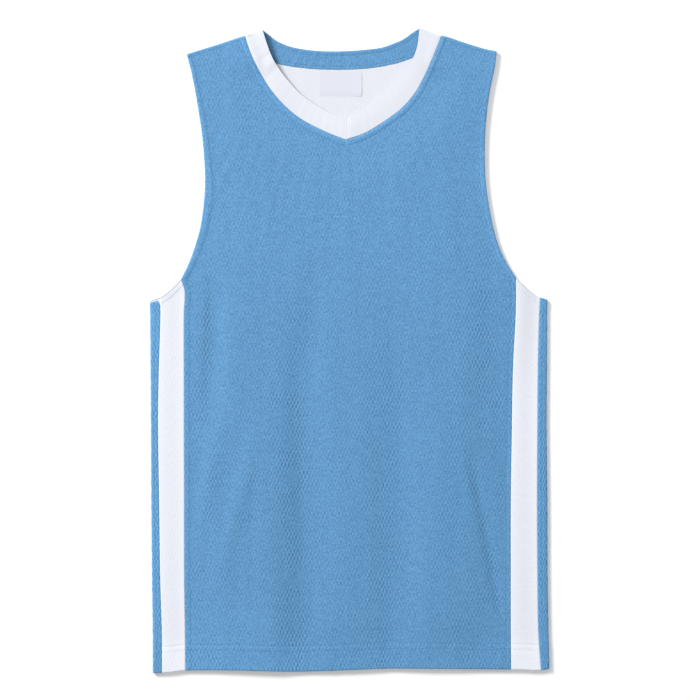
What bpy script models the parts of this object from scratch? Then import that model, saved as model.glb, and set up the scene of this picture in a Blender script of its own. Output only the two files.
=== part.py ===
"""A sleeveless V-neck jersey of light mesh, laid flat with its front up.

X runs across the jersey, Y from the hem to the shoulders, and Z up from the surface it rests on. Left and
right are those of someone who looks down on it. The origin lies under the middle of the whole outline.
All sizes below are in millimetres, and the meshes are built in metres.

Each piece is a closed wall with an outer and an inner skin. The back lies flat on the surface, the front
lies on it with soft folds, and the side panels wrap around from one to the other.
"""

from math import exp, sqrt

import bpy
from mathutils import Vector

MM = 0.001

# The middle of the whole outline in the tables' frame, which becomes the origin
MIDDLE = (-0.8, 0.4)

# Cloth
BACK_WALL = 1.5
FRONT_WALL = 1.5
LINING_WALL = 1.0
LABEL_WALL = 0.8
GAP = 0.3
HEM_DEPTH = 33.0
ARMHOLE_BAND = 6.4
TURNED_EXTRA = 0.4
TURNED_STEP = 1.5

# Folded edges, where the front turns over to the back
TURN_REACH = 2.0
SHOULDER_LEG = 4.0
COLLAR_END_WALL = 2.4

# Collar
COLLAR_LIFT = LINING_WALL + GAP
LIFT_FROM = 325.0
LIFT_TO = 350.0
LINING_MARGIN = 0.44
LINING_TOP_LEFT = 341.0
LINING_TOP_RIGHT = 351.0

# Neck label
LABEL_WIDTH = 51.0
LABEL_HEIGHT = 31.5
LABEL_CENTRE_X = -11.2
LABEL_TOP_Y = 338.3

# Loft of the front, how it fades to the seams, and the narrowest half width of a fold in these walls
LOFT = 3.0
LEAST_LOFT = 0.3
CHEST_LOFT = 0.45
CHEST_FROM = 40.0
CHEST_TO = 220.0
EDGE_FADE = 60.0
HEM_LOFT = 0.3
HEM_FADE = 60.0
FINEST_HALF = 9.0

# Rows and columns of the pieces' grids
SIDE_ROWS = 17
UNDERARM_STEPS = (17.0, 8.0)
ARMHOLE_ROWS = 8
NECK_ROWS = 12
FRONT_COLUMNS = 23
BACK_COLUMNS = 6
STRIPE_COLUMNS = 4
SPAN_STEPS = 12

# How far up the armhole the point of the V lies, and the rows at the underarm's corner and at that point
V_SHARE = 0.49
CORNER_ROW = SIDE_ROWS + 2 + len(UNDERARM_STEPS)
V_ROW = CORNER_ROW + ARMHOLE_ROWS

# The sides from the hem to the underarm: where each seam and each folded edge runs
SIDE_COLUMNS = ("y", "edge_left", "strip_left", "seam_left", "seam_right", "strip_right", "edge_right")
SIDE_LINES = (
    (86.0, -242.8, -230.5, -204.5, 200.9, 231.0, 239.2),
    (70.0, -242.7, -230.2, -199.9, 201.1, 230.6, 239.2),
    (40.0, -242.0, -229.3, -200.9, 200.5, 229.0, 238.7),
    (-24.0, -241.5, -231.2, -200.9, 197.3, 227.5, 238.4),
    (-91.0, -241.1, -232.2, -200.9, 196.0, 227.0, 238.0),
    (-181.0, -240.6, -230.9, -200.6, 194.7, 226.5, 238.9),
    (-272.0, -239.8, -229.7, -200.5, 194.6, 227.0, 239.2),
    (-340.0, -238.9, -227.6, -199.6, 194.7, 228.0, 240.3),
    (-392.0, -238.7, -227.3, -199.2, 195.1, 231.5, 241.6),
)

# The hem
HEM_COLUMNS = ("x", "y")
HEM_LINE = (
    (-245.0, -391.6),
    (-215.0, -389.6),
    (-198.0, -387.7),
    (-135.0, -387.9),
    (-73.0, -389.8),
    (-28.0, -388.2),
    (20.0, -386.4),
    (60.0, -385.4),
    (195.0, -386.6),
    (225.0, -387.6),
    (245.0, -385.4),
)

# The armholes, from the shoulder tip down to the corner where the front meets the stripe
ARMHOLE_COLUMNS = ("left_x", "left_y", "right_x", "right_y")
ARMHOLES = (
    (-197.8, 358.2, 177.9, 361.8),
    (-191.2, 332.8, 175.0, 341.0),
    (-183.9, 292.8, 168.2, 307.3),
    (-177.9, 249.3, 163.6, 262.0),
    (-175.5, 200.0, 163.6, 213.0),
    (-180.0, 155.0, 168.2, 174.2),
    (-187.6, 125.8, 176.7, 135.5),
    (-196.0, 103.0, 187.4, 109.0),
    (-204.5, 85.9, 200.9, 87.1),
)

# The underarm, from that corner across the stripe to the folded edge
UNDERARM_COLUMNS = ("left_x", "left_y", "right_x", "right_y")
UNDERARMS = (
    (-204.5, 85.9, 200.9, 87.1),
    (-212.3, 77.3, 208.9, 79.5),
    (-222.5, 68.2, 218.2, 71.2),
    (-232.8, 61.7, 228.7, 64.2),
    (-245.0, 58.5, 241.0, 60.2),
)

# The shoulders, from the neck to the tip
SHOULDER_COLUMNS = ("left_x", "left_y", "right_x", "right_y")
SHOULDERS = (
    (-126.8, 380.3, 110.6, 380.9),
    (-133.6, 378.6, 121.0, 378.2),
    (-141.0, 376.2, 134.0, 373.6),
    (-156.0, 371.3, 148.0, 369.2),
    (-168.0, 367.5, 164.0, 364.4),
    (-197.8, 358.2, 177.9, 361.8),
)

# The front collar, from the point of the V to the shoulder: its seam and its free edge
COLLAR_COLUMNS = ("seam_x", "seam_y", "edge_x", "edge_y")
COLLAR_LEFT = (
    (-5.4, 255.3, -3.2, 280.9),
    (-27.8, 263.8, -20.0, 284.2),
    (-56.3, 278.3, -41.4, 296.6),
    (-77.5, 294.6, -59.1, 308.9),
    (-95.6, 314.6, -76.3, 327.3),
    (-108.9, 336.4, -88.8, 344.2),
    (-117.4, 353.3, -95.7, 357.2),
    (-122.8, 367.0, -101.4, 373.0),
    (-126.8, 380.3, -106.5, 389.3),
)
COLLAR_RIGHT = (
    (-5.4, 255.3, -3.2, 280.9),
    (17.4, 262.8, 9.0, 286.4),
    (41.8, 277.4, 27.0, 300.0),
    (61.4, 292.1, 41.5, 313.0),
    (76.9, 309.4, 56.0, 329.6),
    (88.1, 328.6, 67.2, 342.0),
    (97.0, 347.6, 75.9, 352.8),
    (104.0, 364.6, 81.4, 367.9),
    (110.6, 380.9, 84.0, 391.0),
)

# The back neck band, from the left shoulder to the right: its free edge and its seam
BAND_COLUMNS = ("edge_x", "edge_y", "seam_x", "seam_y")
NECK_BAND = (
    (-105.6, 386.8, -124.0, 378.6),
    (-97.6, 380.8, -116.6, 363.0),
    (-86.0, 372.7, -100.0, 351.2),
    (-68.0, 366.2, -79.5, 344.5),
    (-40.0, 362.2, -44.0, 340.1),
    (-5.0, 361.8, -6.0, 339.3),
    (34.0, 365.4, 24.0, 341.1),
    (52.0, 370.8, 47.0, 344.9),
    (64.5, 376.4, 69.5, 351.2),
    (75.0, 383.8, 91.5, 362.4),
    (82.4, 388.6, 106.6, 379.4),
)

# Folds in the lofted front: half widths to the left and the right of a fold's line, and the line's places with
# its height there, below 0 for a valley
FOLDS = (
    (6.3, 17.0, ((-167.0, 99.0, -0.6), (-169.0, 36.0, -3.5), (-173.0, -30.0, -2.9), (-178.0, -97.0, -0.3))),
    (11.0, 11.0, ((-161.0, -97.0, 0.4), (-176.0, -169.0, 2.0), (-193.0, -272.0, 1.0))),
    (11.0, 13.0, ((-117.0, -97.0, 0.3), (-127.0, -157.0, 1.3), (-150.0, -248.0, 0.6), (-160.0, -300.0, 0.1))),
    (30.0, 24.0, ((-98.0, -60.0, 0.4), (-95.0, -180.0, 1.3), (-97.0, -320.0, 1.8), (-99.0, -392.0, 3.0))),
    (19.0, 30.0, ((-46.0, 79.0, -0.8), (-52.0, 6.0, -1.6), (-58.0, -60.0, -2.1), (-54.0, -145.0, -2.7),
                  (-54.0, -236.0, -2.7), (-57.0, -392.0, -2.4))),
    (12.0, 12.0, ((-28.0, 60.0, 0.2), (-30.0, -30.0, 0.4), (-26.0, -120.0, 0.2))),
    (26.0, 28.0, ((45.0, 73.0, -0.4), (54.0, 6.0, -1.0), (60.0, -73.0, -1.8), (56.0, -145.0, -2.4),
                  (57.0, -236.0, -2.4), (48.0, -392.0, -2.1))),
    (26.0, 30.0, ((98.0, -60.0, 0.3), (98.0, -200.0, 0.7), (96.0, -392.0, 0.7))),
    (26.0, 18.0, ((165.0, 150.0, -0.6), (172.0, 60.0, -1.4), (176.0, -60.0, -1.4), (176.0, -110.0, -0.4))),
    (5.5, 14.0, ((144.0, -125.0, -0.4), (156.0, -175.0, -2.2), (168.0, -236.0, -3.0), (177.0, -284.0, -3.0),
                 (188.0, -336.0, -1.0))),
    (24.0, 20.0, ((158.0, -290.0, -0.3), (157.0, -340.0, -1.0), (155.0, -392.0, -1.3))),
)

# Cross section of the collar, from its seam to its free edge
SECTION_COLUMNS = ("share", "underside", "wall", "lift_share")
COLLAR_SECTION = (
    (0.00, 0.0, 1.6, 1.0),
    (0.14, 0.0, 2.4, 1.0),
    (0.50, 1.3, 2.4, 0.0),
    (0.86, 1.3, 2.3, 0.0),
    (1.00, 1.6, 1.2, 0.0),
)

# A folded edge from the front to the back: the outer skin's inset and height, as shares of the turn's reach
# and of the top, and the inner skin's inset and its place between the two walls (1 is the front, 0 the back)
FOLD_COLUMNS = ("outer_inset", "outer_height", "inner_inset", "inner_side")
FOLD_SECTION = (
    (1.0, 1.00, 1.00, 1.0),
    (0.3, 0.86, 0.80, 0.8),
    (0.0, 0.50, 0.75, 0.5),
    (0.3, 0.14, 0.80, 0.2),
    (1.0, 0.00, 1.00, 0.0),
)

# The collar's end, which turns down past the back collar: the outer skin's inset and height, as shares of
# the turn's reach and of the top, and the inner skin's height as a share of the underside
END_COLUMNS = ("outer_inset", "outer_height", "inner_height")
COLLAR_END = (
    (1.0, 1.00, 1.0),
    (0.3, 0.88, 0.8),
    (0.0, 0.60, 0.6),
    (0.0, 0.30, 0.4),
    (0.2, 0.08, 0.2),
    (0.5, 0.00, 0.0),
)

# Piece colours and roughness
MATERIALS = {
    "blue_mesh": ("659BCB", 0.85),
    "white_mesh": ("ECEFF7", 0.85),
    "white_rib": ("EEF0F8", 0.80),
    "label_cloth": ("F1F2F6", 0.75),
}


def column(table, names, name):
    """One column of a table, by its name."""
    place = names.index(name)
    return [row[place] for row in table]


def path(table, names, x_name, y_name):
    """A smooth curve through two columns of a table."""
    return smooth_curve(zip(column(table, names, x_name), column(table, names, y_name)))


def smooth_curve(points):
    """A fine line of short steps through the points, rounded between them."""
    knots = [Vector(point) for point in points]
    ends = [2 * knots[0] - knots[1]] + knots + [2 * knots[-1] - knots[-2]]
    curve = []
    for a, b, c, d in zip(ends, ends[1:], ends[2:], ends[3:]):
        for step in range(SPAN_STEPS):
            t = step / SPAN_STEPS
            bend = (2 * a - 5 * b + 4 * c - d) * t * t + (3 * b - a - 3 * c + d) * t ** 3
            curve.append(0.5 * (2 * b + (c - a) * t + bend))
    return curve + [knots[-1]]


def lengths_of(curve):
    """How far along the curve each of its points lies."""
    far = [0.0]
    for a, b in zip(curve, curve[1:]):
        far.append(far[-1] + (b - a).length)
    return far


def sample(curve, shares):
    """The points that lie at these shares of the curve's length."""
    far = lengths_of(curve)
    points = []
    for share in shares:
        goal = share * far[-1]
        span = next(k for k in range(1, len(far)) if far[k] >= goal - 1e-9)
        part = (goal - far[span - 1]) / (far[span] - far[span - 1])
        points.append(curve[span - 1].lerp(curve[span], part))
    return points


def crossing(curve, axis, value):
    """The other coordinate of the curve where it passes a value of x (axis 0) or y (axis 1)."""
    for a, b in zip(curve, curve[1:]):
        low, high = sorted((a[axis], b[axis]))
        if low <= value <= high and high > low:
            return a.lerp(b, (value - a[axis]) / (b[axis] - a[axis]))[1 - axis]
    nearest = min((curve[0], curve[-1]), key=lambda point: abs(point[axis] - value))
    return nearest[1 - axis]


def even(count):
    """Shares from 0 to 1 in equal steps."""
    return [k / count for k in range(count + 1)]


def smooth_step(value):
    """0 below 0 and 1 above 1, with a soft run between."""
    value = min(1.0, max(0.0, value))
    return value * value * (3 - 2 * value)


def sideways(a, b, turn):
    """A unit vector square to the line from a to b, to its left where turn is 1 and to its right where -1."""
    way = (b - a).normalized()
    return Vector((-way.y, way.x)) * turn


HEM = path(HEM_LINE, HEM_COLUMNS, "x", "y")
SIDE = {name: path(SIDE_LINES, SIDE_COLUMNS, name, "y") for name in SIDE_COLUMNS[1:]}
ARMHOLE = {side: path(ARMHOLES, ARMHOLE_COLUMNS, side + "_x", side + "_y") for side in ("left", "right")}
UNDERARM = {side: path(UNDERARMS, UNDERARM_COLUMNS, side + "_x", side + "_y") for side in ("left", "right")}
SHOULDER = {side: path(SHOULDERS, SHOULDER_COLUMNS, side + "_x", side + "_y") for side in ("left", "right")}
COLLAR = {"left": COLLAR_LEFT, "right": COLLAR_RIGHT}
NECK_SEAM = {side: path(COLLAR[side], COLLAR_COLUMNS, "seam_x", "seam_y") for side in COLLAR}
NECK_EDGE = {side: path(COLLAR[side], COLLAR_COLUMNS, "edge_x", "edge_y") for side in COLLAR}
BAND_SEAM = path(NECK_BAND, BAND_COLUMNS, "seam_x", "seam_y")
BAND_EDGE = path(NECK_BAND, BAND_COLUMNS, "edge_x", "edge_y")
WAY_OUT = {"left": -1, "right": 1}
FOLD_LINES = [(left_half, right_half, smooth_curve(line)) for left_half, right_half, line in FOLDS]

# The lines that the loft of the front fades towards
FRONT_BOUNDS = [
    point
    for side in ("left", "right")
    for curve in (ARMHOLE[side], SHOULDER[side], NECK_SEAM[side], SIDE["seam_" + side])
    for point in curve
]


def hem_y(x):
    """Height of the hem's lower edge at x."""
    return crossing(HEM, 0, x)


def fold_rise(place, left_half, right_half, line):
    """How much one fold raises a place: its height at the nearest point of its line, fading beside it."""
    spans = []
    for a, b in zip(line, line[1:]):
        run = b.xy - a.xy
        share = min(1.0, max(0.0, (place - a.xy).dot(run) / run.dot(run)))
        gap = place - a.xy - run * share
        spans.append((gap.length, gap.x, a.z + (b.z - a.z) * share))
    far, gap_x, height = min(spans)
    aside = gap_x / far if far else 0.0
    half = left_half + (right_half - left_half) * smooth_step(0.5 + 0.5 * aside)
    return height * exp(-((far / max(half, FINEST_HALF)) ** 2))


def fold_height(x, y):
    """How high the front is lifted off the back by its loft and folds."""
    place = Vector((x, y))
    near = min((place - point).length for point in FRONT_BOUNDS)
    fade = smooth_step(near / EDGE_FADE)
    chest = 1 - (1 - CHEST_LOFT) * smooth_step((y - CHEST_FROM) / (CHEST_TO - CHEST_FROM))
    above_hem = smooth_step((y - hem_y(x)) / HEM_FADE)
    hem = HEM_LOFT + (1 - HEM_LOFT) * above_hem
    lofted = LOFT * chest + sum(fold_rise(place, *fold) for fold in FOLD_LINES)
    return fade * hem * 0.5 * (lofted + sqrt(lofted ** 2 + LEAST_LOFT ** 2))


def collar_lift(y):
    """How far the collar's seam is raised where the back neck band lies under it."""
    return COLLAR_LIFT * smooth_step((y - LIFT_FROM) / (LIFT_TO - LIFT_FROM))


def neck_lift(x, y):
    """How far the front is raised beside the collar's seam."""
    near = min((Vector((x, y)) - point).length for side in NECK_SEAM for point in NECK_SEAM[side])
    return collar_lift(y) * (1 - smooth_step(near / EDGE_FADE))


def levels(extra):
    """Top of the back, underside of the front and top of the front, where both are turned in by extra."""
    back_top = BACK_WALL + extra
    front_low = back_top + GAP
    return back_top, front_low, front_low + FRONT_WALL + extra


def grid_faces(index):
    """Quads between the rows of a grid of vertex numbers, facing up where rows go up and columns right."""
    faces = []
    for lower, upper in zip(index, index[1:]):
        for k in range(len(lower) - 1):
            faces.append((lower[k], lower[k + 1], upper[k + 1], upper[k]))
    return faces


def wall_object(name, outer, inner, faces, material):
    """A closed wall from its outer and inner points in millimetres and the faces of its outer skin."""
    count = len(outer)
    edges = {(face[k], face[(k + 1) % len(face)]) for face in faces for k in range(len(face))}
    rim = [(a + count, b + count, b, a) for a, b in edges if (b, a) not in edges]
    underside = [tuple(k + count for k in reversed(face)) for face in faces]
    places = [((x - MIDDLE[0]) * MM, (y - MIDDLE[1]) * MM, z * MM) for x, y, z in outer + inner]
    mesh = bpy.data.meshes.new(name)
    mesh.from_pydata(places, [], faces + underside + sorted(rim))
    mesh.materials.append(material)
    mesh.shade_smooth()
    mesh.set_sharp_from_angle(angle=0.7)
    piece = bpy.data.objects.new(name, mesh)
    bpy.context.collection.objects.link(piece)
    return piece


def grid_wall(name, outer_rows, inner_rows, material, facing=1):
    """A wall from rows of outer and inner points. Facing is -1 where the columns run from right to left."""
    width = len(outer_rows[0])
    index = [[row * width + k for k in range(width)] for row in range(len(outer_rows))]
    if facing < 0:
        index = [row[::-1] for row in index]
    outer = [point for row in outer_rows for point in row]
    inner = [point for row in inner_rows for point in row]
    return wall_object(name, outer, inner, grid_faces(index), material)


def flat_wall(name, rows, low, high, material):
    """A flat wall between two heights from rows of points that run up and to the right."""
    outer = [[(p.x, p.y, high) for p in row] for row in rows]
    inner = [[(p.x, p.y, low) for p in row] for row in rows]
    return grid_wall(name, outer, inner, material)


def make_material(name):
    """A plain cloth material of a table's colour and roughness."""
    colour, roughness = MATERIALS[name]
    channels = [int(colour[k:k + 2], 16) / 255 for k in (0, 2, 4)]
    linear = [((c + 0.055) / 1.055) ** 2.4 for c in channels]
    material = bpy.data.materials.new(name)
    material.use_nodes = True
    shader = material.node_tree.nodes["Principled BSDF"]
    shader.inputs["Base Color"].default_value = (*linear, 1.0)
    shader.inputs["Roughness"].default_value = roughness
    shader.inputs["Metallic"].default_value = 0.0
    return material


def side_shares(height):
    """Shares of a side seam's height at the rows, close beside the turned hem's top and the underarm."""
    step_low = (HEM_DEPTH - TURNED_STEP / 2) / height
    step_high = (HEM_DEPTH + TURNED_STEP / 2) / height
    last = 1 - UNDERARM_STEPS[0] / height
    shares = [0.0, step_low] + [step_high + (last - step_high) * share for share in even(SIDE_ROWS)]
    return shares + [1 - step / height for step in UNDERARM_STEPS[1:]] + [1.0]


def side_line(curve, top_y):
    """Points of a side seam or folded edge at the rows, from the hem up to top_y."""
    foot = crossing(curve, 1, HEM_LINE[0][1])
    low = hem_y(foot)
    heights = [low + (top_y - low) * share for share in side_shares(top_y - low)]
    return [Vector((crossing(curve, 1, y), y)) for y in heights]


def hem_extra(number):
    """How much thicker the cloth is in a row, where the hem is turned in."""
    return TURNED_EXTRA if number < 2 else 0.0


def turned_extra(number, place, row):
    """How much thicker a panel is at a place of a row, where the hem or the armhole is turned in."""
    banded = number > CORNER_ROW and place >= len(row) - 2
    return TURNED_EXTRA if banded else hem_extra(number)


def band_extra(number, rows):
    """How much thicker a stripe or side panel is in a row, where its hem or its top is turned in."""
    return TURNED_EXTRA if number == len(rows) - 1 else hem_extra(number)


def panel_shares(width, columns):
    """Shares of a half panel's width, with two beside the armhole's turned band."""
    step_in = 1 - (ARMHOLE_BAND + TURNED_STEP / 2) / width
    step_out = 1 - (ARMHOLE_BAND - TURNED_STEP / 2) / width
    return [step_in * share for share in even(columns)] + [step_out, 1.0]


def follow_hem(rows):
    """Bow the rows between the hem and the underarm to the hem's line, the lowest row fully."""
    top = rows[-1][0].y
    bottom = rows[0][0].y
    bows = [hem_y(point.x) - point.y for point in rows[0]]
    for row in rows:
        share = (top - row[0].y) / (top - bottom)
        for point, bow in zip(row, bows):
            point.y += bow * share


def panel_rows(side, inner, columns):
    """Rows of points of one half panel, from the hem to just below the shoulder, inner to outer."""
    armhole = ARMHOLE[side][::-1]
    seam = side_line(SIDE["seam_" + side], armhole[0].y)
    nudge = Vector((-WAY_OUT[side] * GAP / 2, 0))
    outer = [point + nudge for point in seam]
    shares = [V_SHARE * share for share in even(ARMHOLE_ROWS)[1:]]
    shares += [V_SHARE + (1 - V_SHARE) * share for share in even(NECK_ROWS)[1:]]
    outer += sample(armhole, shares)
    rows = []
    for start, end in zip(inner, outer):
        rows.append([start.lerp(end, share) for share in panel_shares((end - start).length, columns)])
    follow_hem(rows[:CORNER_ROW + 1])
    return rows


def centre_line(x, top_y):
    """Points of the middle of a panel at the rows, from the hem to the neck."""
    low = hem_y(x)
    shares = side_shares(ARMHOLES[-1][1] - low)
    middle = [Vector((x, low + (ARMHOLES[-1][1] - low) * share)) for share in shares]
    corner = middle[-1].y
    return middle + [Vector((x, corner + (top_y - corner) * share)) for share in even(ARMHOLE_ROWS)[1:]]


def shoulder_shares(row, columns):
    """Shares of the shoulder line at a half panel's columns."""
    return panel_shares((row[-1] - row[0]).length, columns)


def shoulder_row(side, shares, inset):
    """The shoulder line's points at these shares, moved in towards the body."""
    curve = SHOULDER[side]
    inward = sideways(curve[0], curve[-1], -WAY_OUT[side])
    return [point + inward * inset for point in sample(curve, shares)]


def fold_profile(top, low, back_top, reach):
    """A folded edge from front to back: inset and height of its outer skin, then of its inner skin."""
    rows = []
    for outer_inset, outer_height, inner_inset, inner_side in FOLD_SECTION:
        inner_z = back_top + (low - back_top) * inner_side
        rows.append((outer_inset * TURN_REACH, outer_height * top, inner_inset * TURN_REACH, inner_z))
    return rows + [(reach, 0.0, reach, back_top)]


def halves_index(left_rows, right_rows, split_row):
    """Vertex numbers of two half panels that share their middle line up to split_row, and their points."""
    points = []
    left_index = []
    right_index = []
    for row, (left, right) in enumerate(zip(left_rows, right_rows)):
        first = len(points)
        points += left[::-1]
        middle = len(points) - 1
        left_index.append(list(range(first, middle + 1)))
        if row > split_row:
            points += right
            right_index.append(list(range(middle + 1, len(points))))
        else:
            points += right[1:]
            right_index.append([middle] + list(range(middle + 1, len(points))))
    return points, grid_faces(left_index) + grid_faces(right_index)


def neck_line(side):
    """Points of the front's neck edge at the rows above the V, just clear of the collar's seam."""
    seam = sample(NECK_SEAM[side], even(NECK_ROWS))
    away = [sideways(a, b, -WAY_OUT[side]) for a, b in zip(seam, seam[1:])]
    away.append(away[-1])
    return [point + way * GAP for point, way in zip(seam, away)][1:]


def front_wall_point(point, extra):
    """Outer and inner point of the front at a place."""
    lift = fold_height(point.x, point.y) + neck_lift(point.x, point.y)
    _, low, top = levels(extra)
    return (point.x, point.y, top + lift), (point.x, point.y, low + lift)


def front_skins(side):
    """Outer and inner rows of half the front, from the hem to just below the shoulder."""
    v_point = NECK_SEAM[side][0]
    inner_line = centre_line(v_point.x, v_point.y - GAP) + neck_line(side)
    rows = panel_rows(side, inner_line, FRONT_COLUMNS)
    rows[-1] = shoulder_row(side, shoulder_shares(rows[-1], FRONT_COLUMNS), TURN_REACH)
    skins = []
    for number, row in enumerate(rows):
        skins.append([front_wall_point(p, turned_extra(number, k, row)) for k, p in enumerate(row)])
    outer = [[point for point, _ in row] for row in skins]
    inner = [[point for _, point in row] for row in skins]
    return outer, inner


def front_half(side):
    """Outer and inner rows of half the front, with the shoulder folded over to the back."""
    outer_rows, inner_rows = front_skins(side)
    tops = [z for _, _, z in outer_rows[-1]]
    lows = [z for _, _, z in inner_rows[-1]]
    row = [Vector((x, y)) for x, y, _ in outer_rows[-1]]
    shares = shoulder_shares(row, FRONT_COLUMNS)
    for step in range(1, len(FOLD_SECTION) + 1):
        outer_row = []
        inner_row = []
        for share, top, low in zip(shares, tops, lows):
            out_inset, out_z, in_inset, in_z = fold_profile(top, low, BACK_WALL, SHOULDER_LEG)[step]
            outer_row.append((*shoulder_row(side, [share], out_inset)[0], out_z))
            inner_row.append((*shoulder_row(side, [share], in_inset)[0], in_z))
        outer_rows.append(outer_row)
        inner_rows.append(inner_row)
    return outer_rows, inner_rows


def make_front(material):
    """The front: both mesh layers in one wall, with its neck, armholes, hem, loft and folds."""
    left_outer, left_inner = front_half("left")
    right_outer, right_inner = front_half("right")
    outer, faces = halves_index(left_outer, right_outer, V_ROW)
    inner, _ = halves_index(left_inner, right_inner, V_ROW)
    wall_object("front_panel", outer, inner, faces, material)


def band_stations(curve):
    """Points along one edge of the neck band, in equal steps on each side of its middle."""
    middle = len(curve) // 2
    left = sample(curve[:middle + 1], even(NECK_ROWS))
    right = sample(curve[middle:], even(NECK_ROWS))
    return left + right[1:]


def back_neck_line(side):
    """Points of the back's neck edge, just clear of the band's seam, from the middle to the shoulder."""
    stations = band_stations(BAND_SEAM)
    seam = stations[NECK_ROWS:] if side == "right" else stations[NECK_ROWS::-1]
    shoulder = SHOULDER[side]
    inward = sideways(shoulder[0], shoulder[-1], -WAY_OUT[side])
    before, last = [(point - shoulder[0]).dot(inward) for point in seam[-2:]]
    seam[-1] = seam[-2].lerp(seam[-1], (before - SHOULDER_LEG - 2 * GAP) / (before - last))
    away = [sideways(a, b, -WAY_OUT[side]) for a, b in zip(seam, seam[1:])]
    return [point + way * GAP for point, way in zip(seam, away + away[-1:])]


def back_half(side):
    """Rows of half the back, from its middle to its side, with the neck cut to the band's seam."""
    edge = back_neck_line(side)
    middle = band_stations(BAND_SEAM)[NECK_ROWS]
    rows = panel_rows(side, centre_line(middle.x, middle.y - GAP) + edge[1:], BACK_COLUMNS)
    shares = shoulder_shares(rows[-1], BACK_COLUMNS)
    rows[-1] = edge[-1:] + shoulder_row(side, shares[1:], SHOULDER_LEG + GAP)
    return rows


def make_back(material):
    """The back: both mesh layers in one wall, flat on the surface."""
    halves = []
    for side in ("left", "right"):
        rows = back_half(side)
        for number, row in enumerate(rows):
            rows[number] = [(*p, BACK_WALL + turned_extra(number, k, row)) for k, p in enumerate(row)]
        halves.append(rows)
    outer, faces = halves_index(halves[0], halves[1], V_ROW)
    inner = [(x, y, 0.0) for x, y, _ in outer]
    wall_object("back_panel", outer, inner, faces, material)


def stripe_rows(side):
    """Rows of points across a white stripe, left to right, from the hem to the underarm."""
    seam = SIDE["seam_" + side]
    strip = SIDE["strip_" + side]
    lines = []
    for share in even(STRIPE_COLUMNS):
        curve = [a.lerp(b, share) for a, b in zip(seam, strip)]
        top_x = curve[0].x + (crossing(strip, 1, UNDERARMS[-2][1]) - strip[0].x) * share
        top_y = crossing(UNDERARM[side], 0, top_x)
        inset = WAY_OUT[side] * GAP / 2 * (1 - 2 * share)
        lines.append([point + Vector((inset, 0)) for point in side_line(curve, top_y)])
    rows = [list(row) for row in zip(*lines)]
    return rows if side == "right" else [row[::-1] for row in rows]


def make_stripes(material):
    """The white stripes beside the front and the back, with the hem and the underarm edge turned in."""
    for side in ("left", "right"):
        rows = stripe_rows(side)
        front_outer, front_inner, back_outer, back_inner = [], [], [], []
        for number, row in enumerate(rows):
            back_top, low, top = levels(band_extra(number, rows))
            front_outer.append([(p.x, p.y, top) for p in row])
            front_inner.append([(p.x, p.y, low) for p in row])
            back_outer.append([(p.x, p.y, back_top) for p in row])
            back_inner.append([(p.x, p.y, 0.0) for p in row])
        grid_wall("stripe_front_" + side, front_outer, front_inner, material)
        grid_wall("stripe_back_" + side, back_outer, back_inner, material)


def make_side_panels(material):
    """The blue bands that wrap the fold at each side, from the front stripe to the back one."""
    for side in ("left", "right"):
        out = WAY_OUT[side]
        edge_top = crossing(UNDERARM[side], 0, SIDE["edge_" + side][0].x)
        strip_x = crossing(SIDE["strip_" + side], 1, edge_top)
        edge = side_line(SIDE["edge_" + side], edge_top)
        strip = side_line(SIDE["strip_" + side], crossing(UNDERARM[side], 0, strip_x))
        outer_rows = []
        inner_rows = []
        for number, (edge_point, strip_point) in enumerate(zip(edge, strip)):
            back_top, low, top = levels(band_extra(number, edge))
            width = abs(edge_point.x - strip_point.x) - GAP / 2
            profile = [(width, top, width, low)] + fold_profile(top, low, back_top, width)
            outer_row = []
            inner_row = []
            for out_inset, out_z, in_inset, in_z in profile:
                out_y = edge_point.lerp(strip_point, out_inset / width).y
                in_y = edge_point.lerp(strip_point, in_inset / width).y
                outer_row.append((edge_point.x - out * out_inset, out_y, out_z))
                inner_row.append((edge_point.x - out * in_inset, in_y, in_z))
            outer_rows.append(outer_row)
            inner_rows.append(inner_row)
        grid_wall("side_panel_" + side, outer_rows, inner_rows, material, facing=out)


def collar_station(seam, edge):
    """Outer and inner points across the collar at one place along it."""
    lift = collar_lift(seam.y)
    base = levels(0.0)[1]
    outer = []
    inner = []
    for share, underside, wall, lift_share in COLLAR_SECTION:
        point = seam.lerp(edge, share)
        low = base + underside + lift * lift_share
        inner.append((point.x, point.y, low))
        outer.append((point.x, point.y, low + wall))
    return outer, inner


def collar_end(seam, edge, side):
    """Rows of the collar's end, which turns down over the ends of the back collar."""
    inward = sideways(seam, edge, WAY_OUT[side])
    outer, inner = collar_station(seam, edge)
    in_move = inward * COLLAR_END_WALL
    rows = []
    for outer_inset, outer_height, inner_height in COLLAR_END:
        out_move = inward * (outer_inset * TURN_REACH)
        outer_row = [(x + out_move.x, y + out_move.y, z * outer_height) for x, y, z in outer]
        inner_row = [(x + in_move.x, y + in_move.y, z * inner_height) for x, y, z in inner]
        rows.append((outer_row, inner_row))
    return rows


def make_front_collars(material):
    """The two rib bands of the V, parted by their seam at its point."""
    for side in ("left", "right"):
        shares = even(NECK_ROWS)
        seam = sample(NECK_SEAM[side], shares)
        edge = sample(NECK_EDGE[side], shares)
        parting = Vector((WAY_OUT[side] * GAP / 2, 0))
        seam[0] = seam[0] + parting
        edge[0] = edge[0] + parting
        stations = [collar_station(a, b) for a, b in zip(seam[:-1], edge[:-1])]
        stations += collar_end(seam[-1], edge[-1], side)
        outer_rows = [outer for outer, _ in stations]
        inner_rows = [inner for _, inner in stations]
        grid_wall("collar_front_" + side, outer_rows, inner_rows, material, facing=-WAY_OUT[side])


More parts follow.
